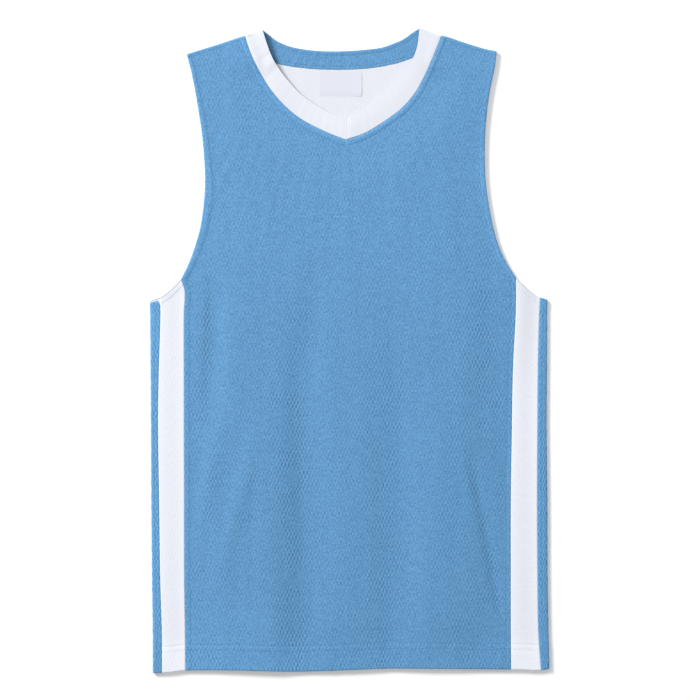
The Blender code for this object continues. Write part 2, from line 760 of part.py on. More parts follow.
def make_back_collar(white, blue):
    """The back of the collar: its white outer face on the surface, and its blue inner face on that."""
    stations = list(zip(band_stations(BAND_SEAM), band_stations(BAND_EDGE)))
    rows = [[seam.lerp(edge, share) for seam, edge in stations] for share in even(1)]
    low = BACK_WALL + GAP
    flat_wall("collar_back", rows, 0.0, BACK_WALL, white)
    flat_wall("neck_band_back", rows, low, low + LINING_WALL, blue)


def under_collar(side):
    """The line under the front collar where the lining ends, from the point of the V up."""
    pairs = zip(sample(NECK_SEAM[side], even(NECK_ROWS)), sample(NECK_EDGE[side], even(NECK_ROWS)))
    return [edge.lerp(seam, LINING_MARGIN) for seam, edge in pairs]


def lining_rows():
    """Rows of the lining that shows in the neck: its lower line follows the V and its upper one the band."""
    left = [point for point in under_collar("left") if point.y < LINING_TOP_LEFT]
    right = [point for point in under_collar("right") if point.y < LINING_TOP_RIGHT]
    seam = band_stations(BAND_SEAM)
    upper_left = [point for point in seam[:NECK_ROWS + 1] if point.x > left[-1].x]
    upper_right = [point for point in seam[NECK_ROWS:] if point.x < right[-1].x]
    lower = sample(left[::-1], even(len(upper_left) - 1)) + sample(right, even(len(upper_right) - 1))[1:]
    upper = [point - Vector((0, GAP)) for point in upper_left + upper_right[1:]]
    return [[a.lerp(b, share) for a, b in zip(lower, upper)] for share in even(2)]


def make_neck_inside(white, label):
    """What shows inside the neck below the band: the white lining of the back and its bare label."""
    low = BACK_WALL + GAP
    flat_wall("back_lining", lining_rows(), low, low + LINING_WALL, white)
    left = LABEL_CENTRE_X - LABEL_WIDTH / 2
    label_low = low + LINING_WALL + GAP
    rows = []
    for y in (LABEL_TOP_Y - LABEL_HEIGHT, LABEL_TOP_Y):
        rows.append([Vector((left, y)), Vector((left + LABEL_WIDTH, y))])
    flat_wall("neck_label", rows, label_low, label_low + LABEL_WALL, label)


def clear_scene():
    """Remove whatever the scene holds."""
    for item in list(bpy.data.objects):
        bpy.data.objects.remove(item, do_unlink=True)


def main():
    """Build every piece."""
    clear_scene()
    blue = make_material("blue_mesh")
    white = make_material("white_mesh")
    rib = make_material("white_rib")
    label = make_material("label_cloth")
    make_front(blue)
    make_back(blue)
    make_stripes(white)
    make_side_panels(blue)
    make_front_collars(rib)
    make_back_collar(rib, blue)
    make_neck_inside(white, label)


main()
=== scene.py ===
"""The looks of a sleeveless V-neck jersey of light mesh, laid flat with its front up.

Each plain solid is replaced by a fine shell of cloth in the same place, with its turned bands, seams, soft
folds and stitches. X runs across the jersey, Y from the hem to the shoulders and Z up from the surface below.
Left and right are as seen from above. Sizes are in millimetres until a mesh is made.
"""

from math import cos, pi, radians, sin

import bpy
import numpy as np
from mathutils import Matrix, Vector


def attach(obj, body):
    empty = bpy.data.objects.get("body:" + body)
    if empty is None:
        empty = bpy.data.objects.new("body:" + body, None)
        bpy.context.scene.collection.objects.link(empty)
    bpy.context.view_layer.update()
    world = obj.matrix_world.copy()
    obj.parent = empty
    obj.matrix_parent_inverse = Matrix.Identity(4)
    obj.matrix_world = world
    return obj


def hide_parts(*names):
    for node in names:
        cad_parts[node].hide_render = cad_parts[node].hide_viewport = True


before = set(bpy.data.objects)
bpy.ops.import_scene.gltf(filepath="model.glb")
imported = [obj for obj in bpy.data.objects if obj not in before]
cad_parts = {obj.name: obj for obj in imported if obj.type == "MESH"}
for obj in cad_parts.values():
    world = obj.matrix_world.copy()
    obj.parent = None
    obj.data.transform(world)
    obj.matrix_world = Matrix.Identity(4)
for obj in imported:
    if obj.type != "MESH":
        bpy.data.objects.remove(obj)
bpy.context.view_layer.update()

MM = 0.001

# The middle of the whole outline in the tables' frame, which is the origin
MIDDLE = np.array((-0.8, 0.4))

# Cloth
BACK_WALL = 1.5
FRONT_WALL = 1.5
LINING_WALL = 1.0
GAP = 0.3
HEM_DEPTH = 33.0
ARMHOLE_BAND = 6.4
TURNED_EXTRA = 0.3
TURNED_STEP = 1.5
HEM_EXTRA = 0.25
HEM_STEP = 16.0
UNDERARM_EXTRA = 0.15
ARM_STEP = 7.0

# Folded edges, where the front turns over to the back: how far they reach, the inner skin's share of that,
# how much cloth goes round one for each radian, how far its turned leg reaches at the shoulder, and from
# which share of the neck up the rows bend to the shoulder
TURN_REACH = 2.0
INNER_TURN = 0.25
TURN_CLOTH = 2.6
SHOULDER_LEG = 4.0
SHOULDER_EASE = 0.8

# Turned edges: how much of the wall the upper and the lower face close in by, and how far in the hem and
# the armhole round off on the front and on the back
EDGE_TOP = 0.5
EDGE_LOW = 0.3
FRONT_ROUND = (1.6, 1.4)
BACK_ROUND = (1.4, 1.2)

# Collar and lining
COLLAR_LIFT = LINING_WALL + GAP
LIFT_FROM = 325.0
LIFT_TO = 350.0
LINING_MARGIN = 0.44
LINING_TOP_LEFT = 341.0
LINING_TOP_RIGHT = 351.0
LINING_WAVE = (0.35, 1.7)
LINING_ROUND = (0.15, 1.2)

# Neck label
LABEL_WIDTH = 51.0
LABEL_HEIGHT = 31.5
LABEL_CENTRE_X = -11.2
LABEL_TOP_Y = 338.3
LABEL_THICK = 0.12
LABEL_STEPS = (0.0, 0.5, 1.2)
LABEL_STEP = 2.5
LABEL_COLUMNS = 24
LABEL_ROWS = 14

# How the label lies: how deep it sinks into the lining, how high its right side lifts, from where, how much
# of that at its top, up to where it hangs and where it is held, and how it lies down and thins out at its
# lower edge
LABEL_SINK = 0.2
LABEL_LIFT = 0.3
LABEL_LIFT_FROM = 34.0
LABEL_LIFT_TOP = 0.35
LABEL_HANG = 22.0
LABEL_HELD = 8.0
LABEL_LAID = 4.0
LABEL_LAID_SINK = (0.12, 0.16)
LABEL_LAID_THIN = 0.6

# Loft and folds of the front
LOFT = 3.0
LEAST_LOFT = 0.3
CHEST_LOFT = 0.45
CHEST_FROM = 40.0
CHEST_TO = 220.0
EDGE_FADE = 60.0
HEM_LOFT = 0.3
HEM_FADE = 60.0

# Sewing: how far each row of stitches lies from its seam or edge, for the armholes from the shoulder down;
# how far apart, long and thick stitches are and how deep they sink; the inset and length of their rounded
# tips and the rise of their middles, in radii; and how far their cloth map shifts from one to the next
SEAM_STITCH = {"left": 6.6, "right": 5.4}
STRIP_STITCH = 5.4
NECK_STITCH = 7.2
ARMHOLE_STITCH = {"left": (4.6, 5.2, 7.0, 9.8, 7.6, 5.8), "right": (6.0, 6.6, 7.0, 7.0, 6.6, 6.2)}
UNDERARM_STITCH = 6.2
SHOULDER_STITCH = 4.4
HEM_STITCHES = (24.5, 31.5)
BAND_STITCH_TOP = 5.2
BAND_STITCH_LOW = 4.3
STITCH_PITCH = 3.0
STITCH_LENGTH = 2.3
STITCH_RADIUS = 0.26
STITCH_SINK = 0.08
STITCH_TIP = (0.45, 0.6)
STITCH_ARCH = 0.5
STITCH_SHIFT = 0.7

# How each stitch finds its cloth: half the length that its way is taken over, how far above it looks down
# from, and how steep the cloth may be; and where rows of stitches end
STITCH_WAY = 0.6
STITCH_FROM = 50.0
STITCH_LEAST_UP = 0.3
SIDE_STITCH_TOP = 80.0
PANEL_STITCH_TOP = 52.0
NECK_STITCH_TOP = 376.0
HEM_STITCH_END = 1.5
HEM_STITCH_FOLD = 2.0

# Seams: how far the cloth turns down into one, how its turned-under allowance puffs beside it, how much its
# row of stitches pulls in, and how the stripes swell between theirs and tilt towards the underarm
SEAM_ROUND = 0.9
SEAM_DROP = 0.3
SIDE_PUFF = 0.12
NECK_PUFF = 0.42
PUFF_RIPPLE = 0.1
PUFF_RISE = 0.4
PUFF_FALL = 0.36
STITCH_DIP = 0.13
STITCH_DIP_WIDTH = 0.7
SIDE_PULL = {"left": 0.4, "right": 1.0}
BAND_PULL = 0.4
STRIPE_RIPPLE = 0.06
STRIPE_WAVE = {"left": 0.18, "right": 0.26}
STRIPE_TILT = {"left": 0.2, "right": 0.5}
STRIPE_TILT_FROM = -120.0
STRIPE_TILT_RUN = 190.0
UNDERARM_PULL = 0.5
STRIPE_RIPPLE_FROM = 4.0
STRIPE_WAVE_FROM = 30.0
HEM_RIPPLE_FROM = 8.0

# Turned edges of the stripes: how far in they round off, the hem's share of that, how much on top and below,
# and how much of the stitches shows below
STRIPE_ROUND = 1.0
STRIPE_HEM_ROUND = 0.6
STRIPE_EDGE_TOP = 0.55
STRIPE_EDGE_UNDER = 0.45
STRIPE_UNDER_STITCH = 0.6

# Uneven gathering along seams as height, length and start, its height in turned bands, how far from a seam
# the cloth's own relief is full, and the rough way along the neck seam
RIPPLES = ((0.5, 11.3, 1.0), (0.3, 17.9, 2.3), (0.3, 7.1, 4.1))
BAND_RIPPLE = 0.1
RELIEF_FADE = 12.0
NECK_WAY = (0.8, 0.6)

# White allowances that show through the mesh: how much, how far inside its stitches each ends, and how
# softly; and how much shows through the narrow side panels at their hem and above it, and up to where that
# changes
ALLOWANCES = {
    "neck": (0.6, 0.4, 1.4),
    "left_arm": (0.85, 0.4, 1.2),
    "right_arm": (0.5, 0.4, 1.2),
    "side": (0.3, 0.0, 1.2),
    "hem": (0.25, 0.0, 2.0),
    "stripe_hem": (0.3, 0.0, 2.0),
}
PANEL_BACKING = {"left": (0.4, 1.0), "right": (0.65, 0.65)}
PANEL_BACKING_TOP = 70.0

# How far the front's eyelets gape, with painted shade: shade painted where the cloth falls away from the key
# lamp over a step across, within a least and a most, and by how deep they lie in a fold; gape for the slack
# of the lower half and the tighter chest, and in the hem
FALL_STEP = 4.0
AWAY_SLOPE_PAINTED_SHADE = 5.0
AWAY_SLOPE_SHADE_RANGE = (-0.35, 0.6)
VALLEY_PAINTED_SHADE = 0.14
SLACK_GAPE = 0.2
SLACK_FROM = 120.0
SLACK_RUN = 260.0
CHEST_GAPE = -0.105
HEM_GAPE = 0.3
HEM_GAPE_FADE = 3.0

# The same where they are pulled open beside the right side seam, where that is and how far it reaches
# across and along, and in the side panels
PULLED_GAPE = 0.6
PULLED_X = 168.0
PULLED_Y = 20.0
PULLED_REACH = (36.0, 120.0)
PANEL_GAPE = 0.7

# Painted light above the hem's left: how much lighter the front is painted there, how far up that reaches,
# from where it grows to the left and over what distance it does both
LEFT_HEM_PAINTED_LIGHT = 0.42
LEFT_HEM_LIGHT_HEIGHT = 105.0
LEFT_HEM_LIGHT_FROM = -20.0
LEFT_HEM_LIGHT_RUN = 80.0

# Painted shade on the right stripe towards the underarm: how much darker, from which height, how fast
UNDERARM_PAINTED_SHADE = {"left": 0.0, "right": 0.35}
UNDERARM_SHADE_FROM = -80.0
UNDERARM_SHADE_RUN = 150.0

# Painted shade along the rim of the underarm's turned edge: how much darker it is painted and how wide it is
RIM_PAINTED_SHADE = {"left": 3.4, "right": 1.3}
RIM_WIDTH = (0.6, 1.0)
RIM_ROUND = {"left": 0.12, "right": 0.5}

# Painted shadow of the left collar on the neck band's mesh beside it: how much darker, how far off and how
# wide
BAND_PAINTED_SHADOW = 2.5
BAND_SHADOW_PLACE = (1.8, 1.6)

# The same, painted shadow on the lining along that collar's free edge: how much darker, its width, between
# which heights it grows and from which share
LINING_PAINTED_SHADOW = 2.3
LINING_SHADOW_WIDTH = 0.85
LINING_SHADOW_HEIGHTS = (283.0, 300.0)
LEAST_LINING_SHADOW = 0.25

# The left underarm, where the white facing rolls out above the blue band: how far the band is cut short at
# the fold, more towards its seam and more still at its rounded corner, how far down the facing reaches and
# how far past the band's seam, how thick it is, and how deep it lies at its top and where the band covers it
BAND_SHORT = (1.7, 1.2, 6.0)
BAND_CORNER = 0.7
BACK_SHORT = 5.5
FACING_DEPTH = 14.0
FACING_OVERLAP = 0.4
FACING_SINK_RUN = 3.0
FACING_WALL = 0.7
FACING_DROP = 0.8
FACING_SINK = 1.1

# Fineness of the shells
SPAN_STEPS = 16
SEAM_STEPS = (0.0, 0.35, 0.9, 1.7, 2.7, 3.8, 4.7, 5.4, 6.1, 7.1, 8.6, 10.6, 13.0)
STRIPE_STEPS = SEAM_STEPS[:9]
HEM_STEPS = (0.0, 0.35, 0.9, 1.7, 3.0, 5.5, 9.0, 13.0, 17.0, 20.5, 22.8, 23.8, 24.5, 25.2, 26.2, 28.0, 30.0,
             30.9, 31.5, 32.1, 33.0, 34.2, 36.5)
END_STEPS = (13.0, 9.5, 7.0, 5.4, 4.2, 3.0, 2.2, 1.6, 1.1, 0.7, 0.35, 0.0)
BODY_ROWS = 122
ARM_ROWS = 48
NECK_ROWS = 46
FRONT_COLUMNS = 46
BACK_COLUMNS = 26
STRIPE_COLUMNS = 5
CROSSING_STEPS = 6
FOLD_STEPS = 10
LINING_ROWS = 100
LINING_COLUMNS_A_SIDE = 64
BAND_COLUMNS_A_SIDE = 96
BAND_ROWS = 7
BAND_SHARES = (0.0, 0.012, 0.03, 0.055, 0.09, 0.13, 0.17, 0.2, 0.23, 0.28)
COLLAR_COLUMNS_ACROSS = 10
COLLAR_STEPS = (0.0, 0.15, 0.3, 0.45, 0.6, 1.1, 1.9, 2.8)
COLLAR_STATIONS = 84
MITRE_STATIONS = (0.0, 0.002, 0.005, 0.01, 0.018)
EVEN_STATIONS_FROM = 0.03
FACING_INSETS = (0.3, 0.6, 1.1, 1.8, 2.6, 3.6)
FACING_DOWNS = (4.0, 3.2, 2.4, 1.9, 1.5, 1.1, 0.8, 0.5, 0.2, 0.0)
FACING_COLUMNS = 10
FACING_ROWS = 6
SHOULDER_SHARES = (0.045, 0.032, 0.022, 0.013, 0.006, 0.0)

# How far up the armhole the point of the V lies, and from which height the columns close in on the neck
V_SHARE = 0.49
CLOSE_FROM = 190.0
CLOSE_RUN = 50.0

# The sides from the hem to the underarm: where each seam and each folded edge runs
SIDE_COLUMNS = ("y", "edge_left", "strip_left", "seam_left", "seam_right", "strip_right", "edge_right")
SIDE_LINES = (
    (86.0, -242.8, -230.5, -204.5, 200.9, 231.0, 239.2),
    (70.0, -242.7, -230.2, -199.9, 201.1, 230.6, 239.2),
    (40.0, -242.0, -229.3, -200.9, 200.5, 229.0, 238.7),
    (-24.0, -241.5, -231.2, -200.9, 197.3, 227.5, 238.4),
    (-91.0, -241.1, -232.2, -200.9, 196.0, 227.0, 238.0),
    (-181.0, -240.6, -230.9, -200.6, 194.7, 226.5, 238.9),
    (-272.0, -239.8, -229.7, -200.5, 194.6, 227.0, 239.2),
    (-340.0, -238.9, -227.6, -199.6, 194.7, 228.0, 240.3),
    (-392.0, -238.7, -227.3, -199.2, 195.1, 231.5, 241.6),
)

# The hem
HEM_COLUMNS = ("x", "y")
HEM_LINE = (
    (-245.0, -391.6),
    (-215.0, -389.6),
    (-198.0, -387.7),
    (-135.0, -387.6),
    (-73.0, -389.1),
    (-28.0, -388.2),
    (20.0, -386.4),
    (60.0, -385.4),
    (195.0, -386.6),
    (225.0, -387.6),
    (245.0, -385.4),
)

# The armholes, from the shoulder tip down to the corner where the front meets the stripe
PAIR_COLUMNS = ("left_x", "left_y", "right_x", "right_y")
ARMHOLES = (
    (-197.8, 358.2, 177.9, 361.8),
    (-191.2, 332.8, 175.0, 341.0),
    (-183.9, 292.8, 168.2, 307.3),
    (-177.9, 249.3, 163.6, 262.0),
    (-175.5, 200.0, 163.6, 213.0),
    (-180.0, 155.0, 168.2, 174.2),
    (-187.6, 125.8, 176.7, 135.5),
    (-196.0, 103.0, 187.4, 109.0),
    (-204.5, 85.9, 200.9, 87.1),
)

# The underarm, from that corner across the stripe to the folded edge
UNDERARMS = (
    (-204.5, 85.9, 200.9, 87.1),
    (-212.3, 77.3, 208.9, 79.5),
    (-222.5, 68.2, 218.2, 71.2),
    (-232.8, 61.7, 228.7, 64.2),
    (-245.0, 58.5, 241.0, 60.2),
)

# The shoulders, from the neck to the tip
SHOULDERS = (
    (-126.8, 380.3, 110.6, 380.9),
    (-133.6, 378.6, 121.0, 378.2),
    (-141.0, 376.2, 134.0, 373.6),
    (-156.0, 371.3, 148.0, 369.2),
    (-168.0, 367.5, 164.0, 364.4),
    (-197.8, 358.2, 177.9, 361.8),
)

# The front collar, from the point of the V to the shoulder: its seam and its free edge
COLLAR_COLUMNS = ("seam_x", "seam_y", "edge_x", "edge_y")
COLLAR_LEFT = (
    (-5.4, 254.8, -3.2, 280.9),
    (-27.9, 263.6, -20.0, 284.2),
    (-56.5, 278.1, -41.4, 296.6),
    (-77.7, 294.4, -59.1, 308.9),
    (-95.6, 314.6, -76.3, 327.3),
    (-108.9, 336.4, -88.8, 344.2),
    (-117.4, 353.3, -95.7, 357.2),
    (-122.8, 367.0, -101.4, 373.0),
    (-126.8, 380.3, -106.5, 389.3),
)
COLLAR_RIGHT = (
    (-5.4, 254.8, -3.2, 280.9),
    (17.5, 262.6, 9.0, 286.4),
    (41.9, 277.2, 27.0, 300.0),
    (61.6, 291.9, 41.5, 313.0),
    (77.1, 309.3, 56.0, 329.6),
    (88.3, 328.5, 67.2, 342.0),
    (97.2, 347.5, 75.9, 352.8),
    (104.2, 364.5, 81.4, 367.9),
    (110.6, 380.9, 84.0, 391.0),
)

# The back neck band, from the left shoulder to the right: its free edge and its seam
BAND_COLUMNS = ("edge_x", "edge_y", "seam_x", "seam_y")
NECK_BAND = (
    (-105.6, 386.8, -124.0, 378.6),
    (-97.6, 380.8, -116.6, 363.0),
    (-86.0, 372.7, -100.0, 351.2),
    (-68.0, 366.2, -79.5, 344.5),
    (-40.0, 362.2, -44.0, 340.1),
    (-5.0, 361.8, -6.0, 339.3),
    (34.0, 365.4, 24.0, 341.1),
    (52.0, 370.8, 47.0, 344.9),
    (64.5, 376.4, 69.5, 351.2),
    (75.0, 383.8, 91.5, 362.4),
    (82.4, 388.6, 106.6, 379.4),
)

# Folds in the lofted front: half widths to the left and the right of a fold's line, and the line's places
# with its height there, below 0 for a valley
FOLDS = (
    (6.3, 17.0, ((-167.0, 99.0, -0.6), (-169.0, 36.0, -3.5), (-173.0, -30.0, -2.9), (-178.0, -97.0, -0.3))),
    (11.0, 11.0, ((-161.0, -97.0, 0.4), (-176.0, -169.0, 2.0), (-193.0, -272.0, 1.0))),
    (11.0, 13.0, ((-117.0, -97.0, 0.3), (-127.0, -157.0, 1.3), (-150.0, -248.0, 0.6), (-160.0, -300.0, 0.1))),
    (30.0, 24.0, ((-98.0, -60.0, 0.4), (-95.0, -180.0, 1.3), (-97.0, -320.0, 1.8), (-99.0, -392.0, 3.0))),
    (19.0, 30.0, ((-46.0, 79.0, -0.8), (-52.0, 6.0, -1.6), (-58.0, -60.0, -2.1), (-54.0, -145.0, -2.7),
                  (-54.0, -236.0, -2.7), (-57.0, -392.0, -2.4))),
    (12.0, 12.0, ((-28.0, 60.0, 0.2), (-30.0, -30.0, 0.4), (-26.0, -120.0, 0.2))),
    (26.0, 28.0, ((45.0, 73.0, -0.4), (54.0, 6.0, -1.0), (60.0, -73.0, -1.8), (56.0, -145.0, -2.4),
                  (57.0, -236.0, -2.4), (48.0, -392.0, -2.1))),
    (26.0, 30.0, ((98.0, -60.0, 0.3), (98.0, -200.0, 0.7), (96.0, -392.0, 0.7))),
    (26.0, 18.0, ((165.0, 150.0, -0.6), (172.0, 60.0, -1.4), (176.0, -60.0, -1.4), (176.0, -110.0, -0.4))),
    (5.5, 14.0, ((144.0, -125.0, -0.4), (156.0, -175.0, -2.2), (168.0, -236.0, -3.0), (177.0, -284.0, -3.0),
                 (188.0, -336.0, -1.0))),
    (24.0, 20.0, ((158.0, -290.0, -0.3), (157.0, -340.0, -1.0), (155.0, -392.0, -1.3))),
)

# Small creases in the front's outer face, as above
CREASES = (
    (4.0, 5.0, ((-168.0, 196.0, 0.0), (-150.0, 216.0, 0.25), (-134.0, 234.0, 0.0))),
    (3.5, 6.0, ((168.0, -262.0, -0.1), (175.5, -292.0, -0.75), (183.0, -322.0, -0.2))),
    (26.0, 8.0, ((152.0, 226.0, 0.0), (153.0, 262.0, 0.6), (158.0, 300.0, 1.0), (166.0, 345.0, 0.7))),
)

# Fine streaks that fan out below the neck: their meeting point, their number a turn, height and start, and
# how far from that point they begin, are full, begin to fade and end
STREAK_CENTRE = (-5.0, 520.0)
STREAKS = ((167.0, 0.07, 0.6), (101.0, 0.05, 2.0), (233.0, 0.03, 4.1))
STREAKS_SHOWN = (265.0, 305.0, 325.0, 470.0)

# Slow waves in any laid cloth: lengths across and along, height and start
WAVES = (
    (31.0, 410.0, 0.05, 0.4),
    (-19.0, 290.0, 0.025, 2.1),
    (53.0, -350.0, 0.06, 4.0),
    (83.0, 61.0, 0.04, 1.2),
)

# Cross section of the collar, from its seam to its free edge, with its top as sewn
SECTION_COLUMNS = ("share", "underside", "lift_share", "top")
COLLAR_SECTION = (
    (0.00, 0.0, 1.0, 1.7),
    (0.14, 0.0, 1.0, 1.9),
    (0.50, 1.3, 0.0, 2.3),
    (0.86, 1.3, 0.0, 2.4),
    (1.00, 1.6, 0.0, 2.4),
)

# How much more each collar stands up at its free edge, from the point of the V (0) to the shoulder (1), how
# much of that it rises close beside its seam and between which stations that grows, how much thinner the
# right one is at its edge, how its cloth swells beside the mitre seam, how far the cloth around the left
# one is lifted, and how far from its seam each side's lift fades out
COLLAR_STAND = {
    "left": ((0.0, 0.1), (0.1, 0.3), (0.22, 0.5), (0.35, 1.1), (0.5, 2.1), (0.65, 3.1), (0.8, 3.6),
             (1.0, 3.4)),
    "right": ((0.0, 0.15), (0.2, 0.45), (0.6, 0.6), (0.75, 0.9), (1.0, 1.3)),
}
SEAM_RISE = {"left": (0.7, 0.3, 0.6), "right": (0.0, 0.0, 1.0)}
RIGHT_EDGE_THIN = 0.4
THIN_FROM = 0.75
MITRE_RISE = 0.14
MITRE_WIDTH = 6.0
MITRE_ROUND = 1.2
MITRE_GAP = 0.02
LEFT_LIFT = 1.9
LEFT_LIFT_FROM = 318.0
LEFT_LIFT_TO = 372.0
LEFT_LIFT_RUN = 30.0
LIFT_FADE = {"left": 34.0, "right": 60.0}

# The collar's cloth: its wall at its turned end and its least wall, its free edge's share of the lift over
# the band, its ripple, the groove at its seams and how much cloth each bend of its turned end takes
COLLAR_END_WALL = 2.4
LEAST_COLLAR_WALL = 0.8
FREE_LIFT = 0.65
COLLAR_RIPPLE = 0.05
COLLAR_RIPPLE_FROM = 3.0
COLLAR_GROOVE = 0.04
COLLAR_GROOVE_ROUND = 0.7
COLLAR_RISE_RUN = 0.6
END_CLOTH = 0.25

# The neck band: what it rises by away from its ends, its swells beside its seam and its free edge as height,
# place and half width, how much its two edges round off, and how much both edges of its lower face and of the
# white face under it do
BAND_END_RISE = (0.25, 10.0)
BAND_SWELL = {"seam": (0.08, 2.1, 1.5), "edge": (0.2, 2.6, 1.8)}
BAND_EDGE_ROUND = (0.4, 1.2)
BAND_SEAM_ROUND = (0.05, 0.8)
BAND_RADIUS = 1.0
BAND_LOW_ROUND = 0.25
WHITE_ROUND = (0.25, 0.35)

# The side panels' wavy fold: height, how stretched, up to where above the hem it grows and how fast it
# fades inwards; and how much of their stitches shows below
PANEL_WAVE = (0.25, 0.7, 20.0, 4.0)
PANEL_UNDER_STITCH = 0.7

# The underside of the back: how much its seams sink and its stitches show, and how it waves as least, share
# and stretch
UNDER_SEAM = 0.5
UNDER_STITCH = 0.8
UNDER_WAVE = (0.12, 0.5, 1.3)

# The collar's end, which turns down past the back collar: the outer skin's inset and height, as shares of
# the turn's reach and of the top, and the inner skin's height as a share of the underside
COLLAR_END = (
    (1.0, 1.00, 1.0),
    (0.3, 0.88, 0.8),
    (0.0, 0.60, 0.6),
    (0.0, 0.30, 0.4),
    (0.2, 0.08, 0.2),
    (0.5, 0.00, 0.0),
)

# Each piece's node, finish, flat cut (width, length and area) and what it lies on
CUTS = {
    "front": ("front_panel", "blue_mesh", 408.0, 770.0, 0.274, "back_panel"),
    "back": ("back_panel", "blue_mesh", 408.0, 770.0, 0.285, ()),
    "stripe_front_left": ("stripe_front_left", "white_mesh", 34.0, 474.0, 0.0145, "stripe_back_left"),
    "stripe_front_right": ("stripe_front_right", "white_mesh", 37.0, 474.0, 0.0156, "stripe_back_right"),
    "stripe_back_left": ("stripe_back_left", "white_mesh", 34.0, 474.0, 0.0145, ()),
    "stripe_back_right": ("stripe_back_right", "white_mesh", 37.0, 474.0, 0.0156, ()),
    "side_panel_left": ("side_panel_left", "blue_mesh", 24.0, 450.0, 0.0092, ()),
    "side_panel_right": ("side_panel_right", "blue_mesh", 27.0, 450.0, 0.0105, ()),
    "underarm_facing": ("side_panel_left", "white_mesh", 13.0, 14.5, 0.00018, "stripe_back_left"),
    "collar_front_left": ("collar_front_left", "white_rib", 30.0, 192.0, 0.0044, "back_lining"),
    "collar_front_right": ("collar_front_right", "white_rib", 30.0, 192.0, 0.0044, "back_lining"),
    "collar_back": ("collar_back", "white_rib", 30.0, 245.0, 0.0056, ()),
    "neck_band": ("neck_band_back", "blue_mesh", 30.0, 245.0, 0.0056, "collar_back"),
    "lining": ("back_lining", "white_mesh", 195.0, 75.0, 0.0080, "back_panel"),
    "label": ("neck_label", "label_cloth", LABEL_WIDTH, LABEL_HEIGHT, 0.0016, "back_lining"),
}

# Blue and white polyester, as sRGB
BLUE = "6299C5"
BLUE_DEEP = "447AA8"
WHITE = "E1E4EC"
WHITE_DEEP = "C8CCD8"
RIB_WHITE = "DFE2E9"
RIB_DEEP = "CDD1DC"
# The lining's whites are a darker copy of the mesh's white: painted shade for its recess inside the neck
LINING_SHADED_WHITE = "D6D9E0"
LINING_SHADED_DEEP = "C0C4CF"
LABEL_WHITE = "D4D6E0"
LABEL_DEEP = "CACDD8"
FLOOR_WHITE = "FDFDFD"
FLOOR_DEEP = "F4F4F4"

# Knit: how far apart its eyelets lie across and along, how far they stray and over what distances, how deep
# and dark they are, how much more so where they gape, the patches in which they show as size, noise and
# share, the yarn's grain, and its mottling as size, detail and share
EYELET_ACROSS = 4.3
EYELET_ALONG = 9.9
EYELET_STRAY = 1.3
SWAY_SIZE = 11.0
SLIP_SIZE = 15.0
PATCH_SIZE = 24.0
PATCH_RANGE = (0.34, 0.62, 0.25, 1.3)
EYELET_DEPTH = 0.29
EYELET_SHARE = 0.28
GAPE_SHOWS = 1.6
YARN_GRAIN = 1.4
YARN_SHARE = 1.35
YARN_RELIEF = 0.6
MOTTLE = ((2.0, 0.0, 0.9), (3.2, 1.0, 1.05), (9.0, 0.0, 0.4), (60.0, 2.0, 0.2))
BACKING_SHOWS = 0.16

# Rib, label and thread: the wave lengths of their ribs, weave and twist, their grain and their relief
RIB_PITCH = 2.4
RIB_GRAIN = 1.2
RIB_RELIEF = 0.04
WEAVE_PITCH = (1.9, 2.5)
WEAVE_GRAIN = 1.5
WEAVE_RELIEF = 0.03
TWIST_PITCH = 0.6
TWIST_RELIEF = 0.05

# Camera: the width in metres that it sees at a level just above the surface
VIEW_WIDTH = 0.847
VIEW_LEVEL = 0.003

# Light: brightness of the fill and of the key lamp on the floor, the key's way, rise in degrees, distance and
# size in metres, and the place, size and power of the soft lamp over the shoulders
FILL = 0.56
KEY = 0.54
KEY_WAY = (0.745, -0.667)
KEY_RISE = 23.0
KEY_DISTANCE = 8.0
KEY_SIZE = 2.2
TOP_PLACE = (0.6, 1.25, 1.2)
TOP_SIZE = 1.0
TOP_POWER = 4.6


def smooth_curve(points):
    """A fine line of short steps through the points, rounded between them."""
    knots = np.array(points, float)
    ends = np.vstack([2 * knots[0] - knots[1], knots, 2 * knots[-1] - knots[-2]])
    t = np.arange(SPAN_STEPS)[:, None] / SPAN_STEPS
    spans = []
    for a, b, c, d in zip(ends, ends[1:], ends[2:], ends[3:]):
        bend = (2 * a - 5 * b + 4 * c - d) * t * t + (3 * b - a - 3 * c + d) * t ** 3
        spans.append(0.5 * (2 * b + (c - a) * t + bend))
    return np.vstack(spans + [knots[-1:]])


def path(table, names, x_name, y_name):
    """A smooth curve through two columns of a table."""
    rows = np.array(table)
    return smooth_curve(rows[:, [names.index(x_name), names.index(y_name)]])


def both_sides(table):
    """The smooth left and right curves of a table that holds both."""
    return {side: path(table, PAIR_COLUMNS, side + "_x", side + "_y") for side in WAY_OUT}


def lengths_of(curve):
    """How far along the curve each of its points lies."""
    return np.concatenate([[0.0], np.cumsum(np.linalg.norm(np.diff(curve, axis=0), axis=1))])


def sample(curve, shares):
    """The points that lie at these shares of the curve's length."""
    far = lengths_of(curve)
    goals = np.array(shares) * far[-1]
    return np.column_stack([np.interp(goals, far, curve[:, k]) for k in range(curve.shape[1])])


def crossing(curve, axis, value):
    """The other coordinate of the curve where it passes a value of x (axis 0) or y (axis 1)."""
    order = np.argsort(curve[:, axis])
    return np.interp(value, curve[order, axis], curve[order, 1 - axis])


def even(count):
    """Shares from 0 to 1 in equal steps."""
    return np.linspace(0.0, 1.0, count + 1)


def smooth_step(value):
    """0 below 0 and 1 above 1, with a soft run between."""
    value = np.clip(value, 0.0, 1.0)
    return value * value * (3 - 2 * value)


def grows(value, start, end):
    """0 before start and 1 past end, with a soft run between."""
    return smooth_step((value - start) / (end - start))


def swell(far, tall, middle, half):
    """A rise of this height at a distance, fading over a half width on both sides of it."""
    return tall * np.exp(-(((far - middle) / half) ** 2))


